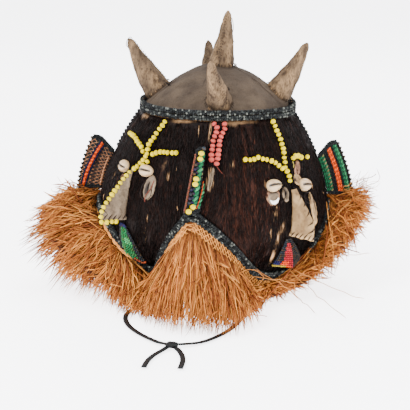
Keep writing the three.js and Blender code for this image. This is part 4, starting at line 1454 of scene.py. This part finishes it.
ear = {"flare": 1, "arch": 4, "hang": 0.06, "panel": 0.9}
corners = {"front": 0, "right": 90, "back": 180, "left": 270}
ears = {
    "front": {"foot": 133, "head": 197, "flare": 1, "low": 31, "high": 17, "fold": -30, "near": 1},
    "right": {"foot": 123, "head": 170, "flare": 21, "low": 32, "high": 33, "fold": 0, "near": -1},
    "back": {"foot": 126, "head": 175, "flare": 18, "low": 31, "high": 32, "fold": 0, "near": 1},
    "left": {"foot": 123, "head": 170, "flare": 21, "low": 32, "high": 38, "fold": 0, "near": 1},
}
dyes = {
    "green": srgb(20, 80, 50), "leaf": srgb(46, 112, 72), "black": srgb(14, 16, 16), "orange": srgb(204, 70, 10),
    "blue": srgb(18, 19, 42), "brown": srgb(92, 58, 40), "sand": srgb(170, 118, 84), "slate": slate[0],
    "rust": srgb(112, 56, 42), "steel": srgb(26, 32, 38), "pale": srgb(104, 98, 62),
}
earStripes = {  # from the body to the outer edge
    "right": ["green", "green", "pale", "black", "black", "orange", "orange", "black", "green", "leaf", "black"],
    "back": ["green", "green", "black", "black", "orange", "orange", "black", "green", "leaf", "black", "black"],
}
netThread = {"half": 1.9, "step": 3.8, "thick": 0.75}


def earPoint(name, u, v, depth):
    shape = ears[name]
    azimuth = corners[name]
    fold = math.radians(shape["fold"])
    arch = ear["arch"] * 6.75 * u * u * (1 - u) * v
    z = shape["foot"] + (shape["head"] - shape["foot"]) * v + shape["flare"] * u * (v - ear["hang"]) + arch
    away = 0.9 + mix(shape["low"], shape["high"], v) * u
    place = around(azimuth, bodyRadius(azimuth, z), z)
    return (place + outward(azimuth) * (away * math.cos(fold * u) + abs(depth * math.sin(fold)) + 0.6)
            + across(azimuth) * (away * math.sin(fold * u) + depth))


def earLine(name, spots, depth, thick, colour, draw, strands=2, pitch=5.2):  # a twisted cord through places on an ear
    line = smoothRoute([earPoint(name, u, v, depth) for u, v in spots], 8)
    near = outward(corners[name]).cross(Vector((0, 0, 1))) * -1

    def place(t):
        far = t * (len(line) - 1)
        i = min(int(far), len(line) - 2)
        return line[i].lerp(line[i + 1], far - i), near

    kind = {"pitch": pitch, "coil": thick * 0.85, "thick": thick, "strands": strands, "hand": 1}
    shades = colour if isinstance(colour, list) else [colour, shaded(colour, 0.5)]
    return [(points, radii, turn, [shaded(tone, draw.uniform(0.7, 1.3)) for _ in points])
            for points, radii, turn, tone in ropeLines(place, kind, shades, samples=6)]


def netLines(name, uRange, vRange, columns, depth, colours, draw, rows=None, thick=None):
    # a knotted net: zigzag threads side by side, each leaning the other way from its neighbour
    lines = []
    count = rows or 12
    for column in range(columns):
        points = []
        for i in range(count * 2 + 1):
            t = i / (count * 2)
            sway = (0.5 if i % 2 else -0.5) * (1 if column % 2 else -1) * 1.1
            u = mix(uRange[0], uRange[1], (column + 0.5 + sway) / columns)
            v = mix(vRange[0], vRange[1], t)
            wobble = Vector((draw.gauss(0, 0.25), draw.gauss(0, 0.25), draw.gauss(0, 0.25)))
            points.append(earPoint(name, u, v, depth + 0.5 * (1 if (i + column) % 2 else -1)) + wobble)
        radii = [0.0, *([thick or netThread["thick"]] * (len(points) - 2)), 0.0]
        tone = draw.choice(colours)
        lines.append((points, radii, 0.0, [shaded(tone, draw.uniform(0.6, 1.2)) for _ in points]))
    return lines


def makeEar(name, seed):
    draw = random.Random(seed)
    near = ears[name]["near"]
    lines = []
    for i, stripe in enumerate(earStripes.get(name, [])):
        u = (i + 0.5) / len(earStripes[name])
        colour = [dyes[stripe], dyes["green"]] if stripe == "pale" else dyes[stripe]
        lines += earLine(name, [(u, 0.05), (u, 0.35), (u, 0.65), (u, 0.95)], 0.0, 1.15, colour, draw)
    sands = [dyes["sand"], dyes["sand"], dyes["brown"], dyes["pale"]]
    if name == "left":
        lines += netLines(name, (0.03, 0.66), (0.03, 0.97), 5, 0.6 * near, sands, draw)
        lines += netLines(name, (0.6, 0.98), (0.03, 0.97), 3, 0.6 * near, sands, draw)
        for shift, thick, key in ((-0.09, 1.0, "blue"), (0, 1.35, "orange"), (0.09, 1.0, "blue")):
            spots = [(0.78 + shift, 0.04), (0.72 + shift, 0.35), (0.62 + shift, 0.7), (0.53 + shift, 0.95)]
            lines += earLine(name, spots, 1.3 * near, thick, dyes[key], draw)
        lines += earLine(name, [(0.1, 0.05), (0.12, 0.5), (0.1, 0.8)], 1.6 * near, 0.9, dyes["sand"], draw)
    if name == "front":
        twist = [dyes["leaf"], dyes["green"]]
        lines += earLine(name, [(0.5, 0.96), (0.6, 0.7), (0.62, 0.42), (0.66, 0.1)], 1.6 * near, 2.1, twist, draw, pitch=11)
        lines += earLine(name, [(-0.02, 0.45), (0.12, 0.3), (0.42, 0.06)], 1.6 * near, 1.6, twist, draw, pitch=10)
        lines += earLine(name, [(0.14, 0.5), (0.28, 0.3), (0.54, 0.06)], 2.4 * near, 0.5, [dyes["orange"], dyes["rust"]], draw)
        lines += earLine(name, [(0.985, 0.02), (0.985, 0.35), (0.985, 0.7), (0.985, 0.98)], 0.4 * near, 0.75,
                         [dyes["rust"], dyes["brown"]], draw)
        lines += earLine(name, [(0.34, 0.96), (0.36, 0.75), (0.3, 0.55)], 1.0 * near, 0.9, [dyes["pale"], dyes["slate"]], draw)
        for u in (0.14, 0.24, 0.4, 0.5, 0.74, 0.86):
            lines += earLine(name, [(u, 0.04), (u, 0.5), (u, 0.95)], -0.3 * near, 1.0, dyes["slate"], draw)
    for v in (0.0, 1.0):  # the braids along the foot and the head
        for inset in (0.0, 0.045):
            level = v + inset if v == 0 else v - inset
            lines += earLine(name, [(0.02, level), (0.35, level), (0.7, level), (0.99, level)], 0.0, 1.2, slate[0], draw)
    mesh = closedStrands(strandMesh("ear", lines, "thread"), "earThreads")
    title = nameOf(name)
    addPiece("ear" + title, mesh, ["thread"], ["ear_" + name])

    bm = newBeadMesh()
    if name != "front":  # scalloped beads down the outer edge
        for j in range(12):
            v = (j + 0.5) / 12
            here = earPoint(name, 1.0, v, 0.0)
            shade = shaded(dyes["black"], draw.uniform(0.8, 1.8))
            addBead(bm, here, 2.1, earPoint(name, 1.0, v + 0.05, 0.0) - here, shade, segments=8, rings=6)
    else:  # pairs of yellow beads, with darker ones between them
        yellowPlaces = ((0.76, 0.93, 3.6), (0.78, 0.85, 3.5), (0.83, 0.55, 3.6), (0.83, 0.47, 3.6),
                        (0.78, 0.11, 3.6), (0.92, 0.05, 3.6))
        for u, v, size in yellowPlaces:
            addBead(bm, earPoint(name, u, v, near * 3.4), size, Vector((0, 0, 1)), shaded(yellow, draw.uniform(0.9, 1.05)))
        for j, v in enumerate((0.78, 0.71, 0.64, 0.39, 0.32, 0.25, 0.18)):
            for u in (0.8, 0.92):
                shade = shaded(dyes["steel" if (j + (u > 0.85)) % 2 else "blue"], draw.uniform(0.7, 1.3))
                addBead(bm, earPoint(name, u, v, near * 2.2), 2.1, Vector((0, 0, 1)), shade, segments=10, rings=6)
        addBead(bm, earPoint(name, 0.55, 1.0, near * 2.4), 2.9, Vector((0, 0, 1)), shaded(dyes["steel"], 1.6))
    bmesh.ops.recalc_face_normals(bm, faces=bm.faces)
    addPiece("earBeads" + title, intoMesh(bm, "earBeads"), ["bead"])

    def panel(u, v):
        return earPoint(name, u, mix(0.01, 0.99, v), -ear["panel"] / 2)

    bm = wrapGrid(12, 24, panel)
    bmesh.ops.recalc_face_normals(bm, faces=bm.faces)
    piece = addPiece("earPanel" + title, intoMesh(bm, "earPanel"), ["ribbon"])
    wall = piece.modifiers.new("wall", "SOLIDIFY")
    wall.thickness = ear["panel"] * millimetre
    wall.offset = 0


for seed, name in enumerate(ears):
    makeEar(name, 100 + seed)
print("ears")


# Raffia fringe

fringe = {
    "front": 3700, "left": 3600, "right": 3400, "back": 2900, "points": 6, "width": (0.72, 1.12),
    "tips": [  # azimuth, then the radius and height of the highest, the farthest and the lowest tips
        (-60, (178, 52), (212, 34), (180, 6)), (-45, (160, 24), (174, 12), (150, 0)),
        (-25, (170, 34), (184, 14), (168, 0)), (0, (200, 36), (216, 10), (200, 0)),
        (14, (205, 32), (226, 9), (212, 0)), (22, (188, 31), (202, 11), (184, 0)),
        (29, (152, 28), (160, 12), (142, 0)), (40, (124, 28), (129, 16), (112, 3)),
        (52, (130, 30), (134, 20), (116, 8)), (64, (160, 54), (168, 38), (136, 22)),
        (77, (182, 98), (190, 66), (156, 36)), (90, (200, 138), (207, 102), (168, 54)),
        (112, (178, 98), (184, 70), (158, 32)), (135, (152, 28), (163, 12), (146, 0)),
        (180, (186, 34), (197, 14), (178, 0)), (225, (158, 30), (170, 14), (150, 0)),
        (248, (174, 70), (200, 40), (164, 8)), (270, (200, 120), (245, 76), (194, 18)),
        (285, (194, 104), (246, 54), (204, 12)),
    ],
}
raffiaTones = [srgb(156, 91, 37), srgb(172, 105, 44), srgb(134, 73, 27), srgb(190, 124, 58), srgb(106, 52, 20)]


def tipsAt(azimuth):
    a = (azimuth + 60) % 360 - 60
    stations = [*fringe["tips"], (300, *fringe["tips"][0][1:])]
    for low, high in zip(stations, stations[1:]):
        if a <= high[0]:
            t = (1 - math.cos(math.pi * (a - low[0]) / (high[0] - low[0]))) / 2
            return [[mix(p, q, t) for p, q in zip(one, other)] for one, other in zip(low[1:], high[1:])]


def fringeEnd(azimuth, layer):  # layer 0 is the top of the fringe, 1 its underside
    high, far, low = tipsAt(azimuth)
    if layer < 0.5:
        return [mix(a, b, layer * 2) for a, b in zip(high, far)]
    return [mix(a, b, layer * 2 - 1) for a, b in zip(far, low)]


netting = {"step": 4.6, "drops": (1, 4.2, 7.4, 10.6, 13.8), "half": 1.8, "thick": 1.0}


def netDepth(azimuth):  # the band is deeper by the front peak, most of all to its right
    turn = (azimuth + 180) % 360 - 180
    if turn < 0:
        return mix(0.35, 0.75, min(1.0, max(0.0, (turn + 40) / 20)))
    return mix(0.75, 1.15, min(1.0, turn / 8)) * min(1.0, max(0.35, (48 - turn) / 12))


def chin(azimuth):  # 1 at the low points of the rim either side of the front peak, 0 away from them
    turn = (azimuth + 180) % 360 - 180
    return max(0.0, 1 - max(0.0, abs(abs(turn) - 46) - 12) / 14)


def fringeRoot(azimuth, layer, draw):
    top = rimZ(azimuth) - rim["height"] - 1 - 5 * chin(azimuth) - (1 - layer) * 15 * (netDepth(azimuth) - 0.35)
    root = around(azimuth, bodyRadius(azimuth, top) + 3 - 6 * layer, max(top - 3 * layer, 1.2))
    near = min(abs((azimuth - side + 180) % 360 - 180) for side in (90, 270))
    if near < 13 and draw.random() < 0.7:  # under the side ears they lie over the braid
        top = rimZ(azimuth) + 2 - 14 * draw.random()
        root = around(azimuth, bodyRadius(azimuth, top) + draw.uniform(3, 8), top)
    return root


def wavyLine(root, tip, lift, wave, sway, count):  # a fibre from its root to its tip, bowed up and wavy
    span = (tip - root).length
    away = Vector((tip.x - root.x, tip.y - root.y, 0))
    knee = root.lerp(tip, 0.42) + Vector((0, 0, lift)) + (away.normalized() * lift * 0.35 if away.length > 1 else away)
    points = []
    for i in range(count):
        t = i / (count - 1)
        spot = root * (1 - t) ** 2 + knee * 2 * t * (1 - t) + tip * t ** 2
        spot += noise.noise_vector(spot / 15 + Vector((wave, -wave, wave * 0.7))) * sway * min(1.0, t * 2) * min(1.0, span / 40)
        spot.z = max(spot.z, 0.9)
        points.append(spot)
    return points


def fibreTones(draw, count):
    tone = shaded(draw.choice(raffiaTones), draw.uniform(0.75, 1.15))
    # darker towards the root as painted shade under the rim, and lighter towards the tip
    return [shaded(tone, mix(0.5, 1.12, min(1.0, i / (count - 3)))) for i in range(count)]


def fibre(points, width, draw):
    count = len(points)
    radii = [0.0, *[width * mix(1, 0.7, i / count) for i in range(count - 2)], 0.0]
    return points, radii, draw.uniform(-1.5, 1.5), fibreTones(draw, count)


def makeFan(label, corner, seed):
    draw = random.Random(seed)
    lines = []
    side = label if label in ("right", "left") else None
    for _ in range(fringe[label]):
        share = draw.uniform(-1, 1)
        azimuth = corner + 47 * share
        layer = draw.random() ** 0.8
        root = fringeRoot(azimuth, layer, draw)
        if side and abs(share) < 0.3 and draw.random() < 0.6:  # under an ear they hang from its net
            root = earPoint(side, draw.uniform(-0.3, 1.0), draw.uniform(-0.42, 0.02), draw.uniform(-3, 3))
            layer *= 0.8
        stray = corner and draw.random() < 0.03
        gather = 0.3 if corner == 0 else 0.12  # the front fan hangs straighter
        drift = -share * 47 * gather + draw.gauss(0, 6 if corner == 0 else 9) + (draw.gauss(0, 12) if stray else 0)
        radius, z = fringeEnd(azimuth + drift, layer)
        radius = min(radius, fringeEnd(azimuth, layer)[0] + 8)
        z += draw.gauss(0, 5)
        tip = root.lerp(around(azimuth + drift, radius, z), draw.uniform(1.02, 1.14) if stray else 1.04 - 0.5 * draw.random() ** 1.6)
        span = (tip - root).length
        loose = draw.random() < (0.4 if corner == 270 else 0.22)
        if loose and span > 40:  # a broken piece caught among the others, at its own slant
            start = root.lerp(tip, draw.uniform(0.25, 0.62))
            way = (tip - root).normalized() + Vector((draw.gauss(0, 0.34), draw.gauss(0, 0.34), draw.gauss(0, 0.3)))
            root, tip = start, start + way.normalized() * min(draw.uniform(18, 48), (tip - start).length + 5)
            span = (tip - root).length
        lift = (mix(13 if corner else 5, -2, layer) + draw.gauss(0, 5 if corner else 3)) * min(1.0, max(0.0, span - 25) / 90) * (1 - 0.85 * chin(azimuth))
        points = wavyLine(root, tip, lift, draw.uniform(0, 50), draw.uniform(1, 5.5), fringe["points"])
        lines.append(fibre(points, draw.uniform(*fringe["width"]), draw))
    name = "fringe" + label.capitalize()
    mesh = closedStrands(strandMesh(name, lines, "fibre"), name)
    addPiece(name, mesh, ["raffia"], ["raffia_fringe"])


def makeStrays():  # fine curly fibres by the ears and a few long ones that wander over the rest
    draw = random.Random(77)
    lines = []
    for side, corner, count, high, far in (("right", 90, 90, 150, 206), ("left", 270, 40, 124, 215), ("back", 180, 20, 60, 200)):
        for _ in range(count):
            root = earPoint(side, draw.uniform(0.5, 1.0), draw.uniform(-0.3, 0.1), draw.uniform(-2, 2))
            tip = around(corner + draw.gauss(0, 9), draw.uniform(far - 26, far), draw.uniform(high - 60, high))
            points = wavyLine(root, tip, draw.gauss(4, 6), draw.uniform(0, 50), draw.uniform(10, 20), 14)
            lines.append(fibre(points, draw.uniform(0.3, 0.55), draw))
    for route in [  # azimuth, radius and height of places along each
            [(18, 140, 52), (26, 150, 40), (31, 148, 48), (24, 146, 60), (17, 148, 50), (12, 158, 40)],
            [(28, 140, 58), (40, 150, 38), (50, 158, 14)], [(24, 142, 50), (38, 148, 44), (49, 150, 34)],
            [(10, 170, 40), (24, 165, 30), (34, 160, 22)], [(12, 185, 24), (22, 180, 16), (30, 172, 8)],
            [(-86, 150, 116), (-88, 176, 128), (-84, 192, 130)], [(-84, 150, 112), (-80, 178, 124), (-76, 200, 118)],
            [(60, 146, 60), (70, 160, 52), (84, 172, 60)], [(50, 136, 48), (52, 180, 24), (54, 219, 3)],
            [(52, 136, 48), (62, 176, 26), (72, 208, 5)], [(62, 140, 62), (70, 180, 60), (77, 207, 60)],
            [(70, 146, 82), (76, 182, 94), (82, 213, 101)], [(44, 132, 40), (47, 158, 22), (50, 186, 4)], [(-50, 150, 50), (-42, 160, 30), (-30, 166, 12)],
            [(-24, 150, 46), (-22, 160, 26), (-26, 166, 6)], [(-36, 148, 40), (-35, 154, 20), (-38, 158, 5)]]:
        points = smoothRoute([around(*spot) for spot in route], 6)
        points = [point + noise.noise_vector(point / 9) * 2.5 for point in points]
        for point in points:
            point.z = max(point.z, 1)
        lines.append(fibre(points, 0.65, draw))
    mesh = closedStrands(strandMesh("strays", lines, "fibre"), "fringeStrays")
    addPiece("fringeStrays", mesh, ["raffia"])


def makeFringeCore():  # the dense middle of the fringe, seen only between fibres, painted very dark as the shade inside the fringe
    def place(u, v):
        azimuth = 360 * u
        top = rimZ(azimuth) - rim["height"] - 4 - 14 * netDepth(azimuth) - 8 * chin(azimuth)
        root = around(azimuth, bodyRadius(azimuth, top) - 1.5, max(top - 2, 5))
        radius, z = fringeEnd(azimuth, 0.5)
        tip = root.lerp(around(azimuth, radius, z), 0.62)
        tip.z = max(tip.z, 5)
        spot = root.lerp(tip, 1 - v) - Vector((0, 0, 5 * math.sin(math.pi * v)))
        spot.z = max(spot.z, 4.6)
        return spot + noise.noise_vector(spot / 8) * 1.6

    bm = wrapGrid(240, 12, place)
    bmesh.ops.recalc_face_normals(bm, faces=bm.faces)
    dye = bm.verts.layers.float_color.new("dye")
    draw = random.Random(9)
    for vert in bm.verts:
        # painted shade: a small share of the darkest raffia tone
        vert[dye] = shaded(raffiaTones[4], draw.uniform(0.12, 0.35))
    piece = addPiece("fringeCore", intoMesh(bm, "fringeCore"), ["raffia"])
    wall = piece.modifiers.new("wall", "SOLIDIFY")
    wall.thickness = 0.005
    wall.offset = 0


def makeNetting():  # the knotted band that holds the fibres under the rim
    draw = random.Random(14)
    spots = [(0.0, rimZ(-4))]
    azimuth, gone = -4.0, 0.0
    while azimuth < 356:  # stations an equal way apart along the hem
        step = 0.25
        rise = (rimZ(azimuth + step) - rimZ(azimuth))
        gone += math.hypot(math.radians(step) * 140, rise)
        azimuth += step
        if gone >= netting["step"] / 2:
            spots.append((azimuth, 0.0))
            gone = 0.0
    if len(spots) % 2:
        spots.pop()
    lines = []
    for row, drop in enumerate(netting["drops"]):
        points = []
        for i, (azimuth, _) in enumerate(spots):
            sway = netting["half"] * (1 if (i + row) % 2 else -1)
            low = (drop + sway) * netDepth(azimuth)
            z = max(rimZ(azimuth) - rim["height"] - 0.6 - low, 1.4)
            out = 2.4 + 0.28 * low + 0.4 * (1 if (i // 2 + row) % 2 else -1) + draw.gauss(0, 0.3)
            points.append(around(azimuth + draw.gauss(0, 0.12), bodyRadius(azimuth, z) + out, z))
        tone = [shaded(raffiaTones[3], draw.uniform(0.7, 1.25)) for _ in points]
        lines.append((points, [netting["thick"]] * len(points), 0.0, tone))
    mesh = strandMesh("netting", lines, "thread", closed=True)
    bm = bmesh.new()
    bm.from_mesh(mesh)
    bpy.data.meshes.remove(mesh)
    bmesh.ops.recalc_face_normals(bm, faces=bm.faces)
    addPiece("fringeNetting", intoMesh(bm, "fringeNetting"), ["raffia"])

    def band(u, v):  # a sheet behind it, darkened as painted shade in the gaps of the net
        azimuth = 360 * u - 4
        low = 15 * netDepth(azimuth) * (1 - v)
        z = max(rimZ(azimuth) - rim["height"] - 0.6 - low, 1.4)
        return around(azimuth, bodyRadius(azimuth, z) + 0.4 + 0.28 * low, z)

    bm = wrapGrid(360, 4, band)
    bmesh.ops.recalc_face_normals(bm, faces=bm.faces)
    dye = bm.verts.layers.float_color.new("dye")
    for vert in bm.verts:
        # painted shade seen through the net
        vert[dye] = shaded(raffiaTones[2], draw.uniform(0.35, 0.6))
    piece = addPiece("fringeBand", intoMesh(bm, "fringeBand"), ["raffia"])
    wall = piece.modifiers.new("wall", "SOLIDIFY")
    wall.thickness = 0.001
    wall.offset = 0

    hung = []
    for name, low in (("right", -0.48), ("left", -0.4)):  # a net hangs under each side ear, over the rim
        for depth in (-2.5, 2.5):
            hung += netLines(name, (-0.28, 1.0), (low, 0.0), 10, depth, raffiaTones, draw, rows=5, thick=0.9)
    mesh = closedStrands(strandMesh("hungNets", hung, "thread"), "hungNets")
    addPiece("hungNets", mesh, ["raffia"])


makeFringeCore()
makeNetting()
for seed, (label, corner) in enumerate(corners.items()):
    makeFan(label, corner, 200 + seed)
makeStrays()
print("fringe")

for holder in sections.values():
    bpy.data.objects.remove(holder)
